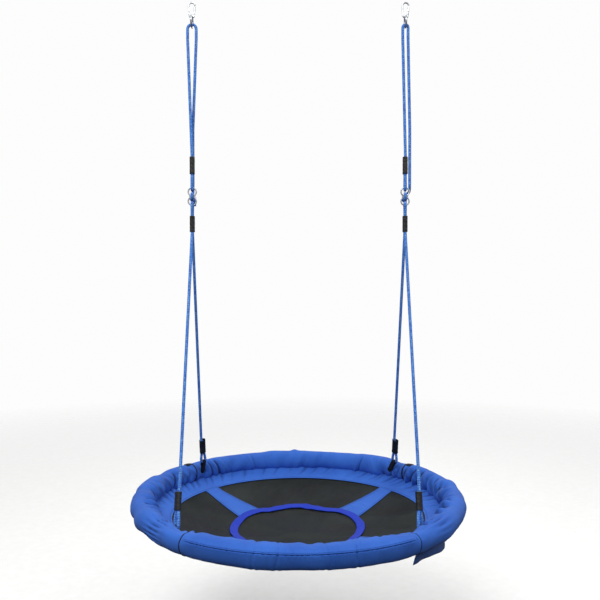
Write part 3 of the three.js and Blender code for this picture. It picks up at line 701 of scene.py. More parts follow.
COVER_STEP = 0.32               # degrees between columns, about 2.6 mm
EVEN_ROWS = np.arange(0, 360, 4.0)
SEAM_ROWS = np.unique(np.concatenate([EVEN_ROWS, SEAM_PHI + np.arange(-9, 9.1, 0.75)]))
FRONT_SEAMS = (257.4, 264.1, 278.2, 286.8)      # the front cover's cross seams, degrees
CLOTH_THICKNESS = 1.3 * MM
HEM_DEGREES = 1.25              # from a cover's end to its hem's stitching
TUCK_DEGREES = 2.4              # a cover sinks over this length to go under its neighbour
TUCK_DEPTH = 1.9 * MM
TUFT = (92.0, 80.0)             # a small knot of cloth at the back, on both angles


def seam_relief(theta, phi):
    """Height of the sewn details: long seam, cross seams, gathers and puckers, in metres."""
    front = smoothstep(FRONT_LEFT_END, FRONT_LEFT_END + 4, theta) * smoothstep(
        FRONT_RIGHT_END, FRONT_RIGHT_END - 4, theta
    )
    below = turn_gap(phi, SEAM_PHI)
    relief = front * 1.6 * MM * smoothstep(-1.5, 1.5, below) * (1 - smoothstep(8, 70, below))
    relief = relief - front * 1.5 * MM * bell(below + 1.6, 1.6)
    relief = relief + front * (2.6 * MM * bell(below - 1, 13) - 1.6 * MM * bell(below + 40, 24))
    relief = relief + front * 1.8 * MM * bell(below + 100, 30)
    gathers = ring_noise(np.radians(theta), 150, 330, SEED + 3, 0.1)
    relief = relief + front * 0.45 * MM * gathers * bell(below, 16)
    for seam in FRONT_SEAMS:
        wander = seam + 0.5 * np.sin(np.radians(phi) * 2 + seam)
        off = turn_gap(theta, wander)
        relief = relief + front * MM * (0.7 * bell(np.abs(off) - 0.9, 0.5) - 0.9 * bell(off, 0.34))
    for stitched in (STATIONS["front_left"], STATIONS["front_right"]):
        off = turn_gap(theta, stitched)
        pucker = ring_noise(np.radians(phi), 9, 17, SEED + int(stitched), 0.1)
        relief = relief + 1.3 * MM * pucker * bell(off, 4.5)
    tuft = bell(turn_gap(theta, TUFT[0]), 1.4) * bell(turn_gap(phi, TUFT[1]), 26)
    return relief + 4.5 * MM * tuft


def painted_hollow_shade(points, normal):
    """Painted shade in hollows: 0 on crowns, up to 1 in hollows, from how far a point lies below its
    neighbourhood.
    """
    mean = points.copy()
    for _ in range(10):
        mean[1:-1] = (mean[:-2] + mean[2:]) / 2
        mean = (np.roll(mean, 1, axis=1) + np.roll(mean, -1, axis=1)) / 2
    depth = np.sum((mean - points) * normal, axis=-1)
    return smoothstep(0.1 * MM, 1.7 * MM, depth)


def painted_gather_shade(theta, phi):
    """Painted shade on the ring's inner side at left and right, where the cloth is gathered tightly: a mottled
    darkening there.
    """
    sides = smoothstep(0.45, 0.9, np.abs(np.cos(np.radians(theta))))
    mottled = 0.5 + 0.5 * np.clip(ring_noise(np.radians(theta + 0.05 * phi), 60, 150, SEED + 12, 0.2), -1, 1)
    return 0.62 * sides * mottled * bell(turn_gap(phi, 168), 46)


def split_at_slits(ids, points, slits, thetas, phis):
    """Opens slits in a cover: a column's points are doubled and drawn apart."""
    moved = points.copy()
    extra = []
    left_ids = ids.copy()
    columns = []
    for theta, phi, length, width in slits:
        column = int(np.argmin(np.abs(turn_gap(thetas, theta))))
        share = turn_gap(phis, phi) / (length / 2)
        inside = np.abs(share) < 1
        opening = np.where(inside, np.cos(share * math.pi / 2), 0) * width / 2
        tangent = unit(points[column + 1].mean(axis=0) - points[column - 1].mean(axis=0))
        for away in range(9):
            push = tangent * (opening * math.exp(-away / 4.0))[:, None]
            moved[column + away] += push
            if away:
                moved[column - away] -= push
        for row in np.flatnonzero(inside):
            left_ids[column, row] = ids.size + len(extra)
            extra.append(points[column, row] - tangent * opening[row])
        columns.append(column)
    return moved, np.array(extra).reshape(-1, 3), left_ids, columns


def cover_piece(name, start, end, lift, slits=(), under=(), phis=EVEN_ROWS):
    """One length of the rim's cloth cover, from one angle to another, with its sewn details."""
    count = int(round((end - start) / COVER_STEP)) + 1
    thetas = np.linspace(start, end, count)
    rows = len(phis)
    points, normal = rim_surface(thetas, phis)
    theta, phi = crossed(thetas % 360, phis)
    from_end = np.minimum(thetas - start, end - thetas)
    hem = 0.5 * smoothstep(1.35, 1.15, from_end) - 0.9 * bell(from_end - HEM_DEGREES, 0.16)
    relief = lift + hem * MM
    for edge in under:
        relief = relief - smoothstep(TUCK_DEGREES, 0.6, np.abs(thetas - edge)) * TUCK_DEPTH
    points = points + normal * (seam_relief(theta, phi) + relief[:, None])[..., None]
    # Painted shade in the cover's hollows and on its gathered inner sides.
    painted_shade = np.maximum(painted_hollow_shade(points, normal), painted_gather_shade(theta, phi))
    ids = np.arange(count * rows).reshape(count, rows)
    moved, extra, left_ids, columns = split_at_slits(ids, points, slits, thetas, phis)
    corners = grid_corners(count, rows, close_v=True)
    quads = np.stack([ids[i, j % rows] for i, j in corners], axis=-1)
    left_quads = np.stack([left_ids[i, j % rows] for i, j in corners], axis=-1)
    ends_at_slit = np.isin(corners[1][0], columns)
    quads[ends_at_slit] = left_quads[ends_at_slit]
    uv = pairs(np.radians(thetas) * RIM_RADIUS, np.radians(np.append(phis, 360)) * COVER_RADIUS)
    every = np.vstack([moved.reshape(-1, 3), extra])
    piece = make_object(f"rim_{name}", every, quads.tolist(), corner_values(corners, uv), "blue_cloth")
    # The slits' opened edges get painted shade too.
    painted_shade = np.concatenate([painted_shade.ravel(), np.full(len(extra), 0.8)])
    finish_sheet(piece, painted_shade, CLOTH_THICKNESS, name)


FRONT_SLIT = (186.5, 44.0, 15 * MM)     # angle on the section, length in degrees, width
BACK_SLIT = (172.0, 40.0, 19 * MM)
BACK_UNDER = 2.0                # degrees that the back cover runs under the side covers
SIDE_UNDER = 1.5                # and the side covers under the front one
SIDE_LIFT = 0.3 * MM
FRONT_LIFT = 0.5 * MM


def build_covers():
    start = SIDE_COVER_END - BACK_UNDER
    slits = [(angle, *BACK_SLIT) for angle in STRAP_AT_TUBE.values()]
    cover_piece("cover_back", start, 180 - start, 0.0, slits, (start, 180 - start))
    left_end = FRONT_LEFT_END + SIDE_UNDER
    slits = [(STATIONS["front_left"], *FRONT_SLIT)]
    cover_piece("cover_left", 180 - SIDE_COVER_END, left_end, SIDE_LIFT, slits, [left_end])
    cover_piece("cover_front", FRONT_LEFT_END, FRONT_RIGHT_END, FRONT_LIFT, phis=SEAM_ROWS)
    right_start = FRONT_RIGHT_END - SIDE_UNDER
    slits = [(STATIONS["front_right"], *FRONT_SLIT)]
    cover_piece("cover_right", right_start, 360 + SIDE_COVER_END, SIDE_LIFT, slits, [right_start])


def surface_band(name, theta, half_degrees, height, lift, phi_from=0, phi_to=360, replaced=()):
    """A raised black tape round all or part of the padding at one angle, following its surface."""
    shares = np.linspace(-1, 1, 7)
    thetas = theta + shares * half_degrees
    phis = np.linspace(phi_from, phi_to, int((phi_to - phi_from) / 3) + 2)
    points, normal = rim_surface(thetas, phis)
    relief = seam_relief(*crossed(thetas % 360, phis % 360)) + lift
    crown = height * (1 - 0.65 * np.abs(shares[:, None]) ** 4)
    outer = points + normal * (relief + crown)[..., None]
    inner = points + normal * (relief - 0.6 * MM)[..., None]
    section = np.concatenate([outer, inner[::-1]], axis=0).transpose(1, 0, 2)
    closed = phi_to - phi_from >= 360
    if closed:
        section = section[:-1]
    across = np.linspace(0, 4 * half_degrees, section.shape[1] + 1) * math.radians(1) * RIM_RADIUS
    uv = pairs(np.radians(phis) * COVER_RADIUS, across)
    shut = {"close_u": closed, "close_v": True, "caps": not closed}
    attach(grid_piece(name, section, uv, "black_webbing", flip=True, **shut), "seat", *replaced)


def build_bindings():
    """The tapes at the covers' ends, and the closures' black tabs at the back."""
    fronts = (
        ("left", FRONT_LEFT_END + 0.1, 0.2, 1.3 * MM),
        ("right", FRONT_RIGHT_END - 0.1, 0.13, 0.9 * MM),
    )
    for side, theta, half, height in fronts:
        replaced = [f"cover_binding_{side}"]
        surface_band(f"binding_front_{side}", theta, half, height, 0.6 * MM, replaced=replaced)
    for side, end, inward in (("right", SIDE_COVER_END, -1.1), ("left", 180 - SIDE_COVER_END, 1.1)):
        surface_band(f"binding_back_{side}", end, 0.32, 1.4 * MM, 0.7 * MM)
        surface_band(f"closure_tab_{side}", end + inward, 1.7, 1.8 * MM, 0.9 * MM, 78, 112)


FLAP_START = 306.0              # degrees; the flap's point
FLAP_END = 319.8
FLAP_SLANT = 2.2                # degrees from its point back to where it starts on the rim
FLAP_OFFSET = 31 * MM           # its lower edge is this far outside the ring's line
FLAP_POINT = -55.5 * MM         # the point's height from the ring's plane
FLAP_RISE = 17 * MM             # the lower edge climbs this far to its other end
FLAP_THICKNESS = 1.4 * MM


def build_flap():
    """The closure's loose end: a pointed piece of cloth hanging off the rim's lower right front."""
    a, d = crossed(np.linspace(0, 1, 34), np.linspace(0, 1, 12))
    slant = FLAP_SLANT * (1 - d) * (1 - smoothstep(0, 0.5, a))
    theta = np.radians(FLAP_START + (FLAP_END - FLAP_START) * a + slant)
    ripple = (1.6 * np.sin(a * 9.5 + 1.0) * d + 1.2 * np.sin(a * 17.0) * d**2) * MM
    offset = FLAP_OFFSET - 15 * MM * (1 - smoothstep(0, 1.09, a))
    inside = COVER_RADIUS - 5 * MM
    start = np.minimum(offset, 0.85 * inside)
    radius = RIM_RADIUS + start + (offset - start) * smoothstep(0, 0.5, d) + ripple * d + 2 * MM * d
    top = -np.sqrt(inside**2 - start**2)
    low = FLAP_POINT + FLAP_RISE * a + 0.8 * MM * np.sin(a * 5)
    uv = np.stack([a * 0.14, d * 0.03], axis=-1)
    points = polar(theta, radius, RING_Z + top + (low - top) * d)
    piece = grid_piece("closure_loose_end", points, uv, "shaded_flap_cloth")
    # Painted shade towards the flap's top, under the rim.
    finish_sheet(piece, smoothstep(0.3, 1.0, 1 - d) * 0.6, FLAP_THICKNESS, "closure_flap", offset=0.0)


# ---- foam and stitched seat ----

FOAM_RADIUS = COVER_RADIUS - 9 * MM
FOAM_BORE = TUBE_RADIUS + 0.7 * MM
FOAM_CLEARANCE = 5 * MM         # least distance from the foam to the cover's middle surface
FOAM_GAP = 2.0                  # degrees between a pad and the rope's foot
FOAM_GAP_LEANING = 2.4          # the same where the foot's strap leans


def build_foam():
    """Four pads round the tube, as thick as the cover leaves room for."""
    right, left = STRAP_AT_TUBE.values()
    spans = {
        "back": (right + FOAM_GAP_LEANING, left - FOAM_GAP_LEANING),
        "left": (180 - STATION + FOAM_GAP, 180 + STATION - FOAM_GAP),
        "front": (180 + STATION + FOAM_GAP, 360 - STATION - FOAM_GAP),
        "right": (360 - STATION + FOAM_GAP, 360 + STATION - FOAM_GAP),
    }
    ring = turns(36)
    for side, (start, end) in spans.items():
        thetas = np.radians(np.linspace(start, end, int(end - start)))
        hub = polar(thetas, RIM_RADIUS, RING_Z)[:, None]
        cloth, _ = rim_surface(np.degrees(thetas), np.degrees(ring))
        reach = np.linalg.norm(cloth - hub, axis=-1, keepdims=True)
        wave = 0.5 * MM * np.sin(thetas * 41)[:, None, None]
        depth = np.minimum(FOAM_RADIUS + wave, reach - FOAM_CLEARANCE)
        outer = hub + (cloth - hub) / reach * np.maximum(depth, FOAM_BORE + 2 * MM)
        bore = RIM_RADIUS + FOAM_BORE * np.cos(ring)
        inner = polar(thetas[:, None], bore, RING_Z + FOAM_BORE * np.sin(ring))
        tube = np.concatenate([outer, inner[::-1]])
        piece = closed_piece(f"foam_pad_{side}", tube, "grey_foam", flip=False)
        attach(piece, "seat", f"foam_{side}")


PANEL_RADIUS = span("seat_panel")[0] / 2
PANEL_THICKNESS = 2.2 * MM
PANEL_COLUMNS = 300
BAND_INNER = PANEL_RADIUS - 5 * MM
BAND_OUTER = span("seat_band")[0] / 2 + 17 * MM
BAND_COLUMNS = 900
BAND_LIFT = 1.6 * MM            # from the black cloth's line up to the skirt's
BAND_THICKNESS = 1.2 * MM
STITCH_INSET = 6 * MM           # from a hem's edge to its stitches
FLAT_RADIUS = 30 * MM
SAG = RING_Z - SEAT_BOTTOM - 3 * MM
DISH_RISE = 78 * MM
DISH_REACH = 420 * MM


def dish(radius):
    """Height of the seat cloth over the ring's plane."""
    rise = np.maximum(0, radius**2 - FLAT_RADIUS**2) / DISH_REACH**2
    return DISH_RISE * rise - SAG


def near_spoke(theta, radius):
    """1 on the spokes' lines, 0 half way between them."""
    share = np.zeros_like(theta)
    for degrees in STATIONS.values():
        off = np.abs(turn_gap(np.degrees(theta), degrees))
        share = np.maximum(share, 1 - smoothstep(6, 26, off))
    return share * smoothstep(60 * MM, 150 * MM, radius)


def panel_height(theta, radius):
    """The black cloth: it sinks a little between the spokes and carries drawn folds."""
    spoke = near_spoke(theta, radius)
    ease = smoothstep(0.0, 0.12, radius) * (1 - smoothstep(0.33, 0.385, radius))
    belly = -5.0 * MM * (1 - spoke) * ease
    x, y = radius * np.cos(theta), radius * np.sin(theta)
    drawn = np.sin(x * 31 + 2.3 * np.sin(y * 17)) * np.sin(y * 23 + 1.7 * np.sin(x * 13))
    creases = ring_noise(theta + radius * 2.2, 9, 30, SEED + 5, 0.3) * smoothstep(0.10, 0.33, radius)
    fold = (1.3 * drawn + 0.9 * creases) * MM * (1 - 0.85 * spoke) * (1 - smoothstep(0.35, 0.384, radius))
    return dish(radius) + belly + fold


def build_panel():
    """The black dish. One flat face closes the small hole that the grid leaves in the middle."""
    radii = np.linspace(0.004, PANEL_RADIUS, 84)
    rows = len(radii)
    thetas = turns(PANEL_COLUMNS)
    t, r = crossed(thetas, radii)
    z = panel_height(t, r)
    corners = grid_corners(PANEL_COLUMNS, rows, close_u=True, flip=True)
    quads = np.stack([(i % PANEL_COLUMNS) * rows + j for i, j in corners], axis=-1)
    middle = [column * rows for column in range(PANEL_COLUMNS)]
    corner_uv = corner_values(corners, polar(np.append(thetas, TAU)[:, None], radii, 0)[..., :2])
    corner_uv = np.vstack([corner_uv, np.zeros((PANEL_COLUMNS, 2))])
    points = polar(t, r, RING_Z + z)
    piece = make_object("seat_cloth", points, quads.tolist() + [middle], corner_uv, "black_cloth")
    # Painted shade: darker towards the panel's edge under the skirt's hem, and where the cloth sinks below the
    # dish.
    seam = smoothstep(PANEL_RADIUS - 30 * MM, PANEL_RADIUS - 6 * MM, r) * 0.5
    painted_shade = seam + 0.5 * smoothstep(0.4, 2.4, (dish(r) - z) / (3 * MM))
    finish_sheet(piece, painted_shade, PANEL_THICKNESS, "seat_panel")


SKIRT_PHI = 225.0               # where the skirt meets the cover, degrees round the section
SKIRT_TUCK = 3.5 * MM           # and how far inside the cover it ends


def build_band():
    """The pleated blue skirt from the black cloth out to the cover."""
    radii = np.linspace(BAND_INNER, BAND_OUTER, 30)
    thetas = turns(BAND_COLUMNS)
    t, r = crossed(thetas, radii)
    outward = smoothstep(BAND_INNER + 8 * MM, BAND_OUTER - 8 * MM, r)
    sides = smoothstep(0.3, 0.95, np.abs(np.cos(t)))
    pleats = ring_noise(t + (r - BAND_INNER) * 1.5, 46, 130, SEED + 7) * (0.9 + 1.5 * sides)
    groove = bell(r - BAND_INNER - STITCH_INSET, 1.2 * MM)
    hem = 0.7 * MM * (1 - smoothstep(7 * MM, 8.5 * MM, r - BAND_INNER) - groove)
    points = polar(t, r, RING_Z + dish(r) + BAND_LIFT + hem + pleats * MM * outward)
    cloth, normal = rim_surface(np.degrees(thetas), [SKIRT_PHI - 2, SKIRT_PHI, SKIRT_PHI + 2])
    sewn = cloth[:, 1] - normal[:, 1] * SKIRT_TUCK
    towards = smoothstep(0.62, 1.0, (radii - BAND_INNER) / (BAND_OUTER - BAND_INNER))[:, None]
    points = points + (sewn[:, None] - points) * towards
    uv = pairs(np.append(thetas, TAU) * DISH_REACH, radii)
    piece = grid_piece("seat_skirt", points, uv, "blue_cloth", close_u=True, flip=True)
    # Painted shade: darker in the pleats' hollows, near the rim where the skirt goes under the cover, and in the
    # hem's stitch groove.
    low = smoothstep(0.4, 2.2, -pleats) * outward
    shade_under_rim = smoothstep(BAND_OUTER - 16 * MM, BAND_OUTER - 2 * MM, r)
    finish_sheet(piece, 0.5 * low + 0.4 * shade_under_rim + 0.5 * groove, BAND_THICKNESS, "seat_band")


SPOKE_IN = 196 * MM
SPOKE_OUT = PANEL_RADIUS - 2 * MM
SPOKE_WIDTH_IN = 100 * MM
SPOKE_WIDTH_OUT = 50 * MM
SPOKE_FLARE = 3 * MM
SPOKE_LIFT = 1.5 * MM
SPOKE_THICKNESS = 1.1 * MM


def spoke_taper(along):
    """A spoke's share of its length and half its width at distances from the middle."""
    share = (along - SPOKE_IN) / (SPOKE_OUT - SPOKE_IN)
    return share, (SPOKE_WIDTH_IN + (SPOKE_WIDTH_OUT - SPOKE_WIDTH_IN) * share) / 2


def on_spoke(degrees, along, across, lift):
    """Points on the black cloth at places along and across a spoke, raised by lift."""
    angle = math.radians(degrees)
    x = along * math.cos(angle) - across * math.sin(angle)
    y = along * math.sin(angle) + across * math.cos(angle)
    z = RING_Z + panel_height(np.arctan2(y, x), np.hypot(x, y)) + lift
    return np.stack([x, y, z], axis=-1)


def build_spokes():
    along = np.linspace(SPOKE_IN - 4 * MM, SPOKE_OUT, 66)
    a, c = crossed(along, np.linspace(-1, 1, 33))
    share, half = spoke_taper(a)
    half = half + SPOKE_FLARE * smoothstep(0.8, 1.0, share) ** 2
    y = c * half
    edge = half - np.abs(y)
    groove = bell(edge - STITCH_INSET, 1.3 * MM)
    hem = 0.5 * MM * (1 - smoothstep(6 * MM, 7.5 * MM, edge)) - 0.6 * MM * groove
    # Painted shade in the stitch groove and along the hem's edge.
    painted_shade = 0.6 * groove + 0.3 * bell(edge, 1.5 * MM)
    for name, degrees in STATIONS.items():
        slack = 0.6 * MM * np.abs(ring_noise(a * 40 + degrees, 1, 5, SEED + int(degrees))) * (1 - c**2)
        points = on_spoke(degrees, a, y, SPOKE_LIFT + hem + slack)
        piece = grid_piece(f"seat_spoke_{name}", points, np.stack([a, y], axis=-1), "blue_cloth")
        finish_sheet(piece, painted_shade, SPOKE_THICKNESS, f"spoke_{name}")


CENTRE_WEB_WIDTH = 25 * MM
CENTRE_WEB_THICKNESS = 1.9 * MM
CENTRE_WEB_RADIUS = centre("centre_ring")[0] + span("centre_ring")[0] / 2 - CENTRE_WEB_WIDTH / 2
CENTRE_WEB_LIFT = 4.2 * MM      # from the black cloth's line up to the loop's upper side
CENTRE_WEB_COLUMNS = 420


def centre_line_radius(theta):
    """The loop bulges at the spokes and at the back, and is drawn in at the right front."""
    degrees = np.degrees(theta)
    radius = CENTRE_WEB_RADIUS - 2 * MM + 12 * MM * bell(turn_gap(degrees, 92), 20)
    radius = radius - 14 * MM * bell(turn_gap(degrees, 340), 26)
    for station in STATIONS.values():
        radius = radius + 3.5 * MM * bell(turn_gap(degrees, station), 18)
    return radius


def build_centre_loop():
    thetas = turns(CENTRE_WEB_COLUMNS)
    shares = np.linspace(-1, 1, 9)
    t, s = crossed(thetas, shares)
    rounding = np.abs(s) ** 6
    curl = 1 + 0.02 * ring_noise(t, 3, 9, SEED + 9)
    r = centre_line_radius(t) + s * CENTRE_WEB_WIDTH / 2 * curl
    ripple = 0.35 * MM * ring_noise(t, 12, 40, SEED + 10) * s
    top = panel_height(t, r) + CENTRE_WEB_LIFT + ripple - 0.5 * MM * rounding
    outer = polar(t, r, RING_Z + top)
    under = outer - (CENTRE_WEB_THICKNESS - 0.9 * MM * rounding)[..., None] * Z
    loop = np.concatenate([outer, under[:, ::-1]], axis=1)
    across = np.concatenate([shares, shares[::-1], shares[:1]]) * CENTRE_WEB_WIDTH / 2
    uv = pairs(np.append(thetas, TAU) * CENTRE_WEB_RADIUS, across)
    attach(closed_piece("centre_loop", loop, "violet_webbing", uv), "seat", "centre_ring")


# ---- stitching ----

STITCH_LENGTH = 3.2 * MM
STITCH_GAP = 1.8 * MM
STITCH_RISE = 0.45 * MM
STITCH_STATIONS = 5
STITCH_SIDES = 6


def sampled(places, length, values):
    """Values that are known at lengths along a path, at other places on it."""
    return np.stack([np.interp(places, length, values[:, k]) for k in range(3)], axis=1)


def stitch_run(name, path, normals):
    """A run of small raised stitches along a path on a surface, as one object."""
    length = lengths_along(path)
    arch = np.sin(np.linspace(0, math.pi, STITCH_STATIONS))
    thick = (0.28 + 0.22 * arch) * MM
    angles = turns(STITCH_SIDES)[:, None]
    first = list(range(STITCH_SIDES))
    last = [corner + (STITCH_STATIONS - 1) * STITCH_SIDES for corner in first]
    stitch = []
    for i in range(STITCH_STATIONS - 1):
        for j in range(STITCH_SIDES):
            a, b = (i * STITCH_SIDES + k % STITCH_SIDES for k in (j, j + 1))
            stitch.append([a, b, b + STITCH_SIDES, a + STITCH_SIDES])
    stitch += [first[::-1], last]
    points, faces = [], []
    for number in range(int(length[-1] / (STITCH_LENGTH + STITCH_GAP))):
        spots = number * (STITCH_LENGTH + STITCH_GAP) + np.linspace(0, STITCH_LENGTH, STITCH_STATIONS)
        lift = sampled(spots, length, normals)
        middle = sampled(spots, length, path) + lift * (STITCH_RISE * arch)[:, None]
        tangent = unit(middle[-1] - middle[0])
        side = unit(np.cross(tangent, lift[2]))
        up = np.cross(side, tangent)
        faces += [[corner + len(points) for corner in face] for face in stitch]
        for at, radius in zip(middle, thick):
            points.extend(at + radius * (np.cos(angles) * side + np.sin(angles) * up))
    corner_count = sum(len(face) for face in faces)
    attach(make_object(name, np.array(points), faces, np.zeros((corner_count, 2)), "thread"), "seat")


def build_stitching():
    """Hem stitches of the skirt and the spokes, and the front cover's long seam."""
    thetas = np.linspace(0, TAU, 1400)
    radius = BAND_INNER + STITCH_INSET
    path = polar(thetas, radius, RING_Z + dish(radius) + 1.7 * MM)
    stitch_run("stitches_skirt", path, np.tile(Z, (len(path), 1)))
    along = np.linspace(SPOKE_IN + 12 * MM, SPOKE_OUT - 34 * MM, 120)
    beside = spoke_taper(along)[1] - STITCH_INSET
    for name, degrees in STATIONS.items():
        for label, side in (("inner", -1), ("outer", 1)):
            path = on_spoke(degrees, along, side * beside, 1.4 * MM)
            stitch_run(f"stitches_{name}_{label}", path, np.tile(Z, (len(path), 1)))
    thetas = np.arange(FRONT_LEFT_END + 1.5, FRONT_RIGHT_END - 1.5, 0.25)
    phis = SEAM_PHI + np.array([4.0, 6.0, 8.0])
    points, normal = rim_surface(thetas, phis)
    relief = seam_relief(*crossed(thetas, phis)) + 0.5 * MM
    path = (points + normal * relief[..., None])[:, 1]
    stitch_run("stitches_front_seam", path, normal[:, 1])


# ---- ropes ----

BRAID_STRANDS = 6
BRAID_PITCH = 6.2 * MM
BRAID_RELIEF = 0.42 * MM
ROPE_STEP = 1.5 * MM
ROPE_SIDES = 20


def braid(length, angles):
    """Height of the crossing yarns, 0 to 1, for lengths along and angles round the rope."""
    around = angles[None, :] / TAU * BRAID_STRANDS
    along = length[:, None] / BRAID_PITCH
    right, left = around + along, around - along
    over = (np.floor(right) + np.floor(left)) % 2
    crown_right = np.sin(math.pi * (right % 1))
    crown_left = np.sin(math.pi * (left % 1))
    top = np.where(over > 0.5, crown_right, crown_left)
    dive = np.where(over > 0.5, crown_left, crown_right)
    return np.sqrt(np.maximum(top, 0)) * (0.55 + 0.45 * dive)


def rope_pieces(names, path, loop_from=None, rounds=5, radius=ROPE_RADIUS):
    """A braided rope along a path. With loop_from, the part above that height is its own piece."""
    path = relax(resample(path, ROPE_STEP), rounds)
    length = lengths_along(path)
    body = radius + BRAID_RELIEF * (braid(length, turns(ROPE_SIDES)) - 0.75)
    points = tube_points(path, body, ROPE_SIDES, X)
    uv = pairs(length / BRAID_PITCH, np.linspace(0, BRAID_STRANDS, ROPE_SIDES + 1))[..., ::-1]
    marks = [0, len(path) - 1]
    if loop_from is not None:
        above = np.flatnonzero(path[:, 2] >= loop_from)
        marks[1:1] = [above[0], above[-1] + 1]
    made = []
    for name, start, end in zip(names, marks[:-1], marks[1:]):
        part = slice(start, end + 1)
        made.append(grid_piece(name, points[part], uv[part], "blue_rope", close_v=True, caps=True))
    return made


def on_chain(side, z, y=0.0):
    """A point on the plumb line through one side's ring, adjuster and sleeves."""
    return np.array([SIDES[side] * CHAIN_X, y, z])


FOOT_DROP = {"front": 42 * MM, "back": 33 * MM}     # from the eye's bottom up to its sleeve
EYE_HALF_WIDTH = 9.5 * MM
EYE_BEND = 6 * MM
SLEEVE_LENGTH = 49 * MM
BIGHT_RADIUS = 8 * MM
BAR_INSET = 2 * MM              # from the plate's edge to the middle of the rope's bend


def foot_frame(name):
    """Directions and lengths at one rope foot, all from the places of the sleeves."""
    end, side = name.split("_")
    strand = STRAND_OFFSET * (1 if end == "back" else -1)
    apex = on_chain(side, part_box(f"apex_sleeve_{side}")[0].z, strand)
    sleeve_middle = centre(f"foot_sleeve_{name}")
    up = unit(apex - sleeve_middle)
    start = FOOT_DROP[end] / up[2]
    eye = sleeve_middle - up * (start + SLEEVE_LENGTH / 2)
    radial = unit(eye * (X + Y))
    tangent = np.cross(Z, radial)
    return {
        "apex": apex,
        "eye": eye,
        "up": up,
        "start": start,
        "radial": radial,
        "tangent": tangent,
        "along": unit(tangent - up * (tangent @ up)),
    }


def eye_run(foot):
    """Stations from the rope's tail in its sleeve, round the eye, and up to the sleeve's top."""
    eye, up, tangent, along = foot["eye"], foot["up"], foot["tangent"], foot["along"]
    start, top = foot["start"], foot["start"] + SLEEVE_LENGTH
    inner = EYE_HALF_WIDTH - EYE_BEND
    left, right = eye - along * STRAND_OFFSET, eye + along * STRAND_OFFSET
    bulge = tangent * EYE_HALF_WIDTH * 0.85
    middle = eye + up * start * 0.55
    base = eye + up * EYE_BEND
    return np.vstack([
        [left + up * (top - 7 * MM), left + up * start, middle - bulge],
        arc(base - tangent * inner, tangent, up, EYE_BEND, 180, 270, 8),
        arc(base + tangent * inner, tangent, up, EYE_BEND, 270, 360, 8),
        [middle + bulge, right + up * start, right + up * (top + 3 * MM)],
    ])


def build_lower_ropes():
    """One rope a side: from the front foot, over the adjuster's lower bar, to the back foot."""
    for side in SIDES:
        front, back = foot_frame(f"front_{side}"), foot_frame(f"back_{side}")
        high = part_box(f"apex_sleeve_{side}")[1].z
        bar = on_chain(side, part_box(f"adjuster_{side}")[0].z + BAR_INSET)
        path = np.vstack([
            eye_run(front),
            [front["apex"], on_chain(side, high, -STRAND_OFFSET)],
            arc(bar, Y, Z, BIGHT_RADIUS, 180, 0, 14),
            [on_chain(side, high, STRAND_OFFSET), back["apex"]],
            eye_run(back)[::-1],
        ])
        (piece,) = rope_pieces([f"lower_rope_{side}"], path)
        attach(piece, "seat", f"v_rope_{side}")


SLEEVE_WALL = 1.3 * MM
SLEEVE_SLACK = 0.15 * MM        # the bore's extra radius over the strands
SLEEVE_NARROW = ROPE_RADIUS + 2.0 * MM
SLEEVE_WIDE = STRAND_OFFSET + ROPE_RADIUS + 0.7 * MM
SLEEVE_SIDES = 40


def sleeve_piece(label, low, up, wide, length, body, seed):
    """A shrunk sleeve over two strands: a pinched oval tube with a wall and soft ends."""
    random = np.random.default_rng(seed)
    across = np.cross(up, wide)
    ring = turns(SLEEVE_SIDES)
    pinch = 0.6 * MM * bell(np.abs(np.sin(ring)), 0.35)
    squarish = 1 + 0.05 * np.sin(2 * ring) ** 2
    cosine, sine = np.cos(ring) * squarish, np.sin(ring) * squarish
    total = length / MM
    edge = np.array([0, 0.4, 1.2])
    stations = np.concatenate([edge, np.linspace(3, total - 3, 26), total - edge[::-1]])
    shells = []
    for outside in (True, False):
        rows = []
        for s in stations if outside else stations[::-1]:
            end_gap = min(s, total - s)
            grown = 0.35 * MM * math.exp(-end_gap / 3.0)
            lumps = 0.22 * MM * np.sin(ring * 2 + s * 0.55) * np.sin(s * 1.01)
            lumps = lumps + 0.1 * MM * random.standard_normal()
            if outside:
                grown = grown + SLEEVE_WALL - 0.5 * MM * math.exp(-end_gap / 0.5) + lumps
            else:
                grown = grown + SLEEVE_SLACK + 0.25 * MM * math.exp(-end_gap / 0.6)
            narrow = ((SLEEVE_NARROW + grown - pinch) * cosine)[:, None] * across
            rows.append(low + up * s * MM + narrow + ((SLEEVE_WIDE + grown) * sine)[:, None] * wide)
        shells += rows
    attach(closed_piece(f"shrink_{label}", np.array(shells), "black_sleeve"), body, label)


def build_sleeves():
    seed = SEED
    for side in SIDES:
        for kind, body in (("apex", "seat"), ("upper", f"slider_{side}")):
            label = f"{kind}_sleeve_{side}"
            low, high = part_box(label)
            seed += 1
            sleeve_piece(label, on_chain(side, low.z), Z, Y, high.z - low.z, body, seed)
    for name in STATIONS:
        foot = foot_frame(name)
        base = foot["eye"] + foot["up"] * foot["start"]
        seed += 1
        sleeve_piece(f"foot_sleeve_{name}", base, foot["up"], foot["along"], SLEEVE_LENGTH, "seat", seed)


STRAP_THICKNESS = 1.7 * MM
STRAP_STEP = 1.2 * MM
STRAP_WIDTH = 10.5 * MM
STRAP_WIDTH_LEANING = 13.5 * MM
STRAP_LEAVES = 66               # degrees from the slit's direction to where a leaning strap leaves the tube


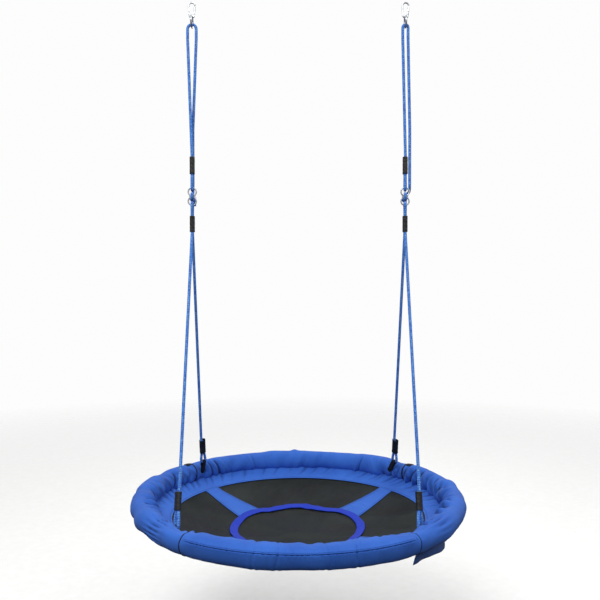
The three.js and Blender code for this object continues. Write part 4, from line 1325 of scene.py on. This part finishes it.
def strap_path(name, foot):
    """Round the ring's tube, out of the slit, through the rope's eye and back, as a closed run."""
    degrees = STRAP_AT_TUBE.get(name, STATIONS[name])
    hub = polar(math.radians(degrees), RIM_RADIUS, RING_Z)
    eye = foot["eye"]
    big = TUBE_RADIUS + STRAP_THICKNESS
    small = ROPE_RADIUS + STRAP_THICKNESS * 0.9
    mouth = eye
    if name in STRAP_AT_TUBE:
        near_slit = rim_surface(degrees + np.array([-0.5, 0, 0.5]), BACK_SLIT[0] + np.array([-3, 0, 3]))
        mouth, outward = (values[1, 1] for values in near_slit)
    ahead = unit(mouth - hub)
    above = unit(Z - ahead * (Z @ ahead))
    if name in STRAP_AT_TUBE:
        near = mouth + outward * 0.6 * MM
        far = near + outward * 1.15 * STRAP_THICKNESS
        upward = unit(eye - mouth)
        inward = upward * (foot["radial"] @ upward) - foot["radial"]
        round_eye = arc(eye, unit(inward), upward, small, 0, 180, 20)
        run = [arc(hub, ahead, above, big, STRAP_LEAVES, 360 - STRAP_LEAVES, 36), [far], round_eye, [near]]
    else:
        tilt = math.degrees(math.acos((big - small) / np.linalg.norm(mouth - hub)))
        round_eye = arc(eye, ahead, above, small, -tilt, tilt, 24)
        run = [arc(hub, ahead, above, big, tilt, 360 - tilt, 40), round_eye]
    path = resample(np.vstack([*run, run[0][:1]]), STRAP_STEP)[:-1]
    for _ in range(3):
        path = 0.25 * np.roll(path, 1, axis=0) + 0.5 * path + 0.25 * np.roll(path, -1, axis=0)
    return path


def build_foot_straps():
    """Black webbing from the ring's tube, through the cover's slit, round the rope's eye and back."""
    for name in STATIONS:
        foot = foot_frame(name)
        path = strap_path(name, foot)
        width = STRAP_WIDTH_LEANING if name in STRAP_AT_TUBE else STRAP_WIDTH
        tangents = np.roll(path, -1, axis=0) - np.roll(path, 1, axis=0)
        points, shares = strip_points(path, tangents, foot["tangent"], width, STRAP_THICKNESS, 9, 0.5)
        length = lengths_along(path)
        uv = pairs(np.append(length, length[-1] + STRAP_STEP), np.append(shares, shares[0]) * width / 2)
        piece = closed_piece(f"strap_{name}", points, "black_webbing", uv)
        attach(piece, "seat", f"foot_strap_{name}")


# ---- upper ropes, adjusters, rings and hooks ----

RUNNING = {                     # half the loop's width over the ring, and the strand's place at the adjuster
    "left": (13 * MM, 16.5 * MM * Y),
    "right": (8 * MM, 13.8 * MM * X),
}
LOOP_DEPTH = 46 * MM            # the rope's loop over the ring keeps its shape this far down
LOOP_LEGS = 30 * MM             # its legs are straight this far below the bend
CLEAR_OF_SLEEVE = 85 * MM       # the running strand stays beside the sleeve until here
INTO_SLEEVE = 20 * MM
HEIGHT_TRAVEL = next(j for j in frame["joints"] if j["name"] == "height_left")["range_m"][1]
TAIL_TOP = 37.5 * MM            # the running strand ends this high over the adjuster's middle


def build_upper_ropes():
    """Per side: a strand up from the sleeve, the loop over the ring, and the running strand down."""
    for side, (half, beside) in RUNNING.items():
        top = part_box(f"upper_rope_{side}")[1].z
        sleeve_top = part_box(f"upper_sleeve_{side}")[1].z
        strand_low = sleeve_top - INTO_SLEEVE
        running_low = centre(f"adjuster_{side}")[2] + TAIL_TOP
        bend = top - ROPE_RADIUS - half
        legs = on_chain(side, bend - LOOP_LEGS)
        path = np.vstack([
            [on_chain(side, strand_low, -STRAND_OFFSET)],
            [on_chain(side, sleeve_top + 4 * MM, -STRAND_OFFSET)],
            [legs - half * X],
            arc(on_chain(side, bend), X, Z, half, 180, 0, 18),
            [legs + half * X],
            [on_chain(side, sleeve_top + CLEAR_OF_SLEEVE) + beside, on_chain(side, running_low) + beside],
        ])
        anchor_z = top - LOOP_DEPTH
        names = [f"upper_strand_{side}", f"upper_loop_{side}", f"running_strand_{side}"]
        strand, loop, running = rope_pieces(names, path, anchor_z)
        attach(loop, f"rope_{side}", f"upper_rope_{side}")
        for piece, bottom in ((strand, strand_low), (running, running_low)):
            attach(piece, f"rope_{side}")
            keep = 1 - HEIGHT_TRAVEL / (anchor_z - bottom)
            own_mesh(piece)


def build_rope_eyes():
    for side in SIDES:
        low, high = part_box(f"upper_sleeve_{side}")
        bar = on_chain(side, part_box(f"adjuster_{side}")[1].z - BAR_INSET)
        path = np.vstack([
            [on_chain(side, high.z - 22 * MM, -STRAND_OFFSET), on_chain(side, low.z, -STRAND_OFFSET)],
            arc(bar, Y, Z, BIGHT_RADIUS, 180, 360, 14),
            [on_chain(side, low.z, STRAND_OFFSET), on_chain(side, high.z - 3 * MM, STRAND_OFFSET)],
        ])
        (piece,) = rope_pieces([f"upper_eye_{side}"], path)
        attach(piece, f"slider_{side}", f"rope_eye_{side}")


# The running strand's end in millimetres from the adjuster's middle: down beside the rope's eye, through
# the plate's lower hole, and into an overhand knot.
TAIL_GUIDES = {
    "left": [(0, 16.5, 38.5), (0, 16.5, 31), (0, 17.6, 23), (0, 14.5, 12.8), (0, 8, 9.3)],
    "right": [(13.8, 0, 38.5), (13.8, 0, 31), (14.2, 5.5, 22), (12.5, 10, 13.5), (5.5, 10.5, 9.3)],
}
CROSSING = [(0, 0, 9.1), (0, -7.2, 6.8), (0, -8.6, 0), (0, -7.2, -6.8), (0, 0, -9.1), (0, 8, -8.4)]
KNOT = [(1, 14, -10), (5, 18, -8), (4.5, 20, -2), (-1, 18, 1), (-5, 14.5, -3), (-4.5, 14, -9), (0, 17, -12),
        (4, 20.5, -12), (4.5, 20.5, -19), (4, 21, -27)]


def catmull(guides, per_span):
    """A smooth run through guide points."""
    guides = np.vstack([2 * guides[0] - guides[1], guides, 2 * guides[-1] - guides[-2]])
    t = np.linspace(0, 1, per_span, endpoint=False)[:, None]
    run = []
    for a, b, c, d in zip(guides, guides[1:], guides[2:], guides[3:]):
        bend = (2 * a - 5 * b + 4 * c - d) * t**2 + (3 * b - a - 3 * c + d) * t**3
        run.append(0.5 * (2 * b + (c - a) * t + bend))
    return np.vstack([*run, guides[-2:-1]])


def build_rope_tails():
    for side in SIDES:
        plate = on_chain(side, centre(f"adjuster_{side}")[2])
        path = catmull(plate + np.array([*TAIL_GUIDES[side], *CROSSING, *KNOT]) * MM, 10)
        (piece,) = rope_pieces([f"adjuster_tail_{side}"], path, rounds=2, radius=ROPE_RADIUS - 0.1 * MM)
        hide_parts(f"rope_tail_{side}")
        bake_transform(piece)


HOLE_RADIUS = 10.2 * MM
PLATE_EDGE = 1.1 * MM
WAIST_RADIUS = 8 * MM


def plate_outlines(lobe):
    """A figure of eight and its two holes, in the plate's own plane."""
    waist_x = math.sqrt((lobe + WAIST_RADIUS) ** 2 - lobe**2)
    turn = math.degrees(math.atan2(lobe, waist_x))
    outline = np.vstack([
        arc(lobe * Y, X, Y, lobe, -turn, 180 + turn, 60),
        arc(-waist_x * X, X, Y, WAIST_RADIUS, turn, -turn, 12)[1:-1],
        arc(-lobe * Y, X, Y, lobe, 180 - turn, 360 + turn, 60),
        arc(waist_x * X, X, Y, WAIST_RADIUS, 180 + turn, 180 - turn, 12)[1:-1],
    ])
    return [outline, *(arc(s * lobe * Y, X, Y, HOLE_RADIUS, 0, 350, 36) for s in (-1, 1))]


def build_adjusters():
    """Figure-of-eight plates: filled outlines with two holes and rounded edges, stood upright."""
    for side in SIDES:
        size = span(f"adjuster_{side}")
        name = f"adjuster_plate_{side}"
        curve = bpy.data.curves.new(name, "CURVE")
        curve.dimensions = "2D"
        curve.fill_mode = "BOTH"
        curve.extrude = size[1] / 2 - PLATE_EDGE
        curve.bevel_depth = PLATE_EDGE
        curve.bevel_resolution = 4
        curve.offset = -PLATE_EDGE
        for loop in plate_outlines(size[2] / 4):
            spline = curve.splines.new("POLY")
            spline.points.add(len(loop) - 1)
            spline.points.foreach_set("co", np.hstack([loop, np.ones((len(loop), 1))]).ravel())
            spline.use_cyclic_u = True
        drawing = add_to_scene("adjuster_drawing", curve)
        evaluated = drawing.evaluated_get(bpy.context.evaluated_depsgraph_get())
        mesh = bpy.data.meshes.new_from_object(evaluated)
        bpy.data.objects.remove(drawing)
        flat = np.empty(len(mesh.vertices) * 3)
        mesh.vertices.foreach_get("co", flat)
        x, y, z = flat.reshape(-1, 3).T
        placed = np.stack([x, -z, y], axis=1) + centre(f"adjuster_{side}")
        mesh.vertices.foreach_set("co", placed.ravel())
        mesh.materials.clear()
        mesh.materials.append(MATERIALS["zinc_steel"])
        mesh.name = name
        piece = add_to_scene(name, mesh)
        weld = piece.modifiers.new("merge", "WELD")
        weld.merge_threshold = 0.01 * MM
        attach(piece, f"plate_{side}", f"adjuster_{side}")


RING_COLUMNS = 96


def build_rings():
    """Round steel rings, each with the small bulge of its weld."""
    for side in SIDES:
        middle = centre(f"hanging_ring_{side}")
        size = span(f"hanging_ring_{side}")
        wire_radius = size[0] / 2
        major = size[2] / 2 - wire_radius
        path = arc(middle, Y, Z, major, 0, 360, RING_COLUMNS + 1)[:-1]
        weld = 1 + 0.10 * bell(np.linspace(-24, 24, RING_COLUMNS), 1.6)
        angles = turns(20)[:, None]
        offset = np.cos(angles) * ((path - middle) / major)[:, None] + np.sin(angles) * X
        points = path[:, None] + offset * (wire_radius * weld)[:, None, None]
        piece = closed_piece(f"steel_ring_{side}", points, "zinc_steel")
        attach(piece, f"ring_{side}", f"hanging_ring_{side}")


HOOK_WIRE = 2.5 * MM
LOW_BEND = 7.5 * MM             # radii and heights of a hook's middle line, from its lowest point
TOP_BEND = 9.5 * MM
TOP_CENTRE = 35.5 * MM
GATE_TOP = 32.5 * MM
GATE_PIN = 13 * MM
GATE_RADIUS = 3 * MM
GATE_FORK_TOP = 16.4 * MM       # below this the gate is two cheeks
CHEEK_LOW = 9.9 * MM
CHEEK_OUT = 2.05 * MM           # from the hook's middle plane
CHEEK_WIDTH = 5.2 * MM
CHEEK_THICKNESS = 1.1 * MM
LUG_SPAN = (6 * MM, 15.2 * MM)
LUG_WIDTH = 3.6 * MM
LUG_THICKNESS = 1.8 * MM
RIVET_HALF = 3.5                # millimetres


def gate_line(foot, low, high, count, out=0.0):
    """Points on the line of a hook's open side, between two heights."""
    z = np.linspace(low, high, count)
    x = LOW_BEND + (TOP_BEND - LOW_BEND) * (z - LOW_BEND) / (TOP_CENTRE - LOW_BEND)
    return foot + np.stack([x, np.full(count, out), z], axis=1)


def eased_ends(length, drop, reach):
    """1 along a bar, less by drop at its two ends."""
    ends = np.minimum(length - length[0], length[-1] - length)
    return 1 - drop * np.exp(-ends / reach)


def build_hook(side, foot):
    low = arc(foot + LOW_BEND * Z, X, Z, LOW_BEND, 0, -180, 30)
    high = arc(foot + TOP_CENTRE * Z, X, Z, TOP_BEND, 180, 2, 36)
    path = resample(np.vstack([low, high]), 0.9 * MM)
    radius = HOOK_WIRE * eased_ends(lengths_along(path), 0.35, 0.6 * MM)
    attach(wire(f"hook_body_{side}", path, radius, Y), "hangers", f"snap_hook_{side}")
    path = gate_line(foot, *LUG_SPAN, 12) - 0.1 * MM * X
    attach(strip_piece(f"hook_lug_{side}", path, X, LUG_WIDTH, LUG_THICKNESS), "hangers")


def build_gate(side, foot):
    """The gate's tube, the two cheeks that straddle the lug, and the rivet through them."""
    path = gate_line(foot, GATE_FORK_TOP, GATE_TOP, 40)
    radius = GATE_RADIUS * eased_ends(path[:, 2], 0.3, 0.7 * MM)
    attach(wire(f"gate_tube_{side}", path, radius, Y), f"gate_{side}", f"hook_gate_{side}")
    shares = np.linspace(0, 1, 14)
    width = CHEEK_WIDTH * np.sqrt(1 - 0.75 * np.maximum(0, 1 - shares / 0.25) ** 2)
    for label, out in (("near", -CHEEK_OUT), ("far", CHEEK_OUT)):
        path = gate_line(foot, CHEEK_LOW, GATE_FORK_TOP + 2.5 * MM, 14, out)
        cheek = strip_piece(f"gate_cheek_{label}_{side}", path, X, width, CHEEK_THICKNESS)
        attach(cheek, f"gate_{side}")
    stations = np.linspace(-RIVET_HALF, RIVET_HALF, 15)
    from_middle = np.abs(stations)
    heads = 0.75 * smoothstep(2.9, 3.15, from_middle) - 0.5 * smoothstep(3.2, RIVET_HALF, from_middle)
    path = gate_line(foot, GATE_PIN, GATE_PIN, 1) + stations[:, None] * MM * Y
    rivet = wire(f"gate_rivet_{side}", path, (0.85 + heads) * MM, Z, 14)
    attach(rivet, "hangers", f"gate_pin_{side}")


def build_hooks():
    for side in SIDES:
        foot = on_chain(side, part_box(f"snap_hook_{side}")[0].z + HOOK_WIRE)
        build_hook(side, foot)
        build_gate(side, foot)


def finish_cad_nodes():
    """Steel parts that stay as the CAD made them get their procedural finish."""
    slots = {row["node"]: row["material_slot"] for row in frame["record"]["subparts"]}
    for name, node in frame["nodes"].items():
        if not node.hide_render:
            node.data.materials.clear()
            node.data.materials.append(MATERIALS[slots[name]])


# ---- the setting ----

FLOOR_Z = -0.42
FLOOR_COLUMNS = 96
CAMERA_PLACE = (0.004, -2.123, 0.743)
CAMERA_DOWN = 0.84
CAMERA_LENS = 42.0
LAMP_SIZE = 2.0
LAMPS = (                       # name, place, height it aims at over the origin, power
    ("key", (-0.95, -2.3, 3.0), 0.1, 70),
    ("fill", (2.4, -1.2, 2.2), 0.3, 15),
    ("back", (0.6, 2.6, 2.8), 0.4, 30),
)


def build_floor():
    """A pale floor that fades out with distance, can't be seen from below, and throws little light up."""
    radii = np.concatenate([[1e-4], np.linspace(0.3, 9.0, 40)])
    thetas = turns(FLOOR_COLUMNS)[:, None]
    graph = Graph("pale_floor")
    grain = graph.noise(graph.place(), 30.0, 3.0)
    pale = graph.mix(graph.remap(grain, 0.3, 0.7), "F4F4F3", "F8F8F7")
    seen = graph.add("ShaderNodeLightPath", output="Is Camera Ray")
    colour = graph.mix(seen, "404040", pale)
    MATERIALS["floor"] = graph.finish(Base_Color=colour, Roughness=0.9, Specular_IOR_Level=0.1)
    x, y, _ = graph.split(graph.place())
    distance = graph.math("SQRT", x * x + y * y)
    below = graph.add("ShaderNodeNewGeometry", output="Backfacing")
    fade = graph.math("MAXIMUM", graph.remap(distance, 2.2, 5.5), below)
    solid = graph.tree.nodes["Principled BSDF"].outputs[0]
    clear = graph.add("ShaderNodeBsdfTransparent")
    blend = graph.add("ShaderNodeMixShader", {0: fade, 1: solid, 2: clear})
    graph.feed(blend, graph.tree.nodes["Material Output"].inputs["Surface"])
    grid_piece("pale_floor", polar(thetas, radii, FLOOR_Z), None, "floor", close_u=True, flip=True)


def build_world():
    """White to the camera, and to everything else a pale sky over a dim ground."""
    graph = Graph("pale_studio", bpy.data.worlds.new("pale_studio"))
    up = graph.split(graph.add("ShaderNodeTexCoord", output="Generated"))[2]
    seen = graph.add("ShaderNodeLightPath", output="Is Camera Ray")
    strength = graph.add("ShaderNodeMix", {0: seen, 2: graph.remap(up, -0.5, 0.9, 0.06, 0.86), 3: 0.98})
    background = graph.tree.nodes["Background"]
    graph.feed(strength, background.inputs["Strength"])
    graph.feed((1, 1, 1, 1), background.inputs["Color"])
    bpy.context.scene.world = graph.holder


def build_setting():
    build_floor()
    build_world()
    for name, place, aim, power in LAMPS:
        lamp = bpy.data.lights.new(name, "AREA")
        lamp.shape = "DISK"
        lamp.size = LAMP_SIZE
        lamp.energy = power
        made = add_to_scene(name, lamp)
        made.location = place
        made.rotation_euler = (Vector((0, 0, aim)) - made.location).to_track_quat("-Z", "Y").to_euler()
    camera = bpy.data.cameras.new("camera")
    camera.lens = CAMERA_LENS
    camera.sensor_width = 36
    viewer = add_to_scene("camera", camera)
    viewer.location = CAMERA_PLACE
    viewer.rotation_euler = (math.radians(90 - CAMERA_DOWN), 0, 0)
    bpy.context.scene.camera = viewer
    bpy.context.scene.view_settings.view_transform = "Standard"


BUILDERS = (
    build_covers,
    build_bindings,
    build_flap,
    build_foam,
    build_panel,
    build_band,
    build_spokes,
    build_centre_loop,
    build_stitching,
    build_lower_ropes,
    build_sleeves,
    build_foot_straps,
    build_upper_ropes,
    build_rope_eyes,
    build_rope_tails,
    build_adjusters,
    build_rings,
    build_hooks,
    finish_cad_nodes,
    build_setting,
)
for build in BUILDERS:
    build()
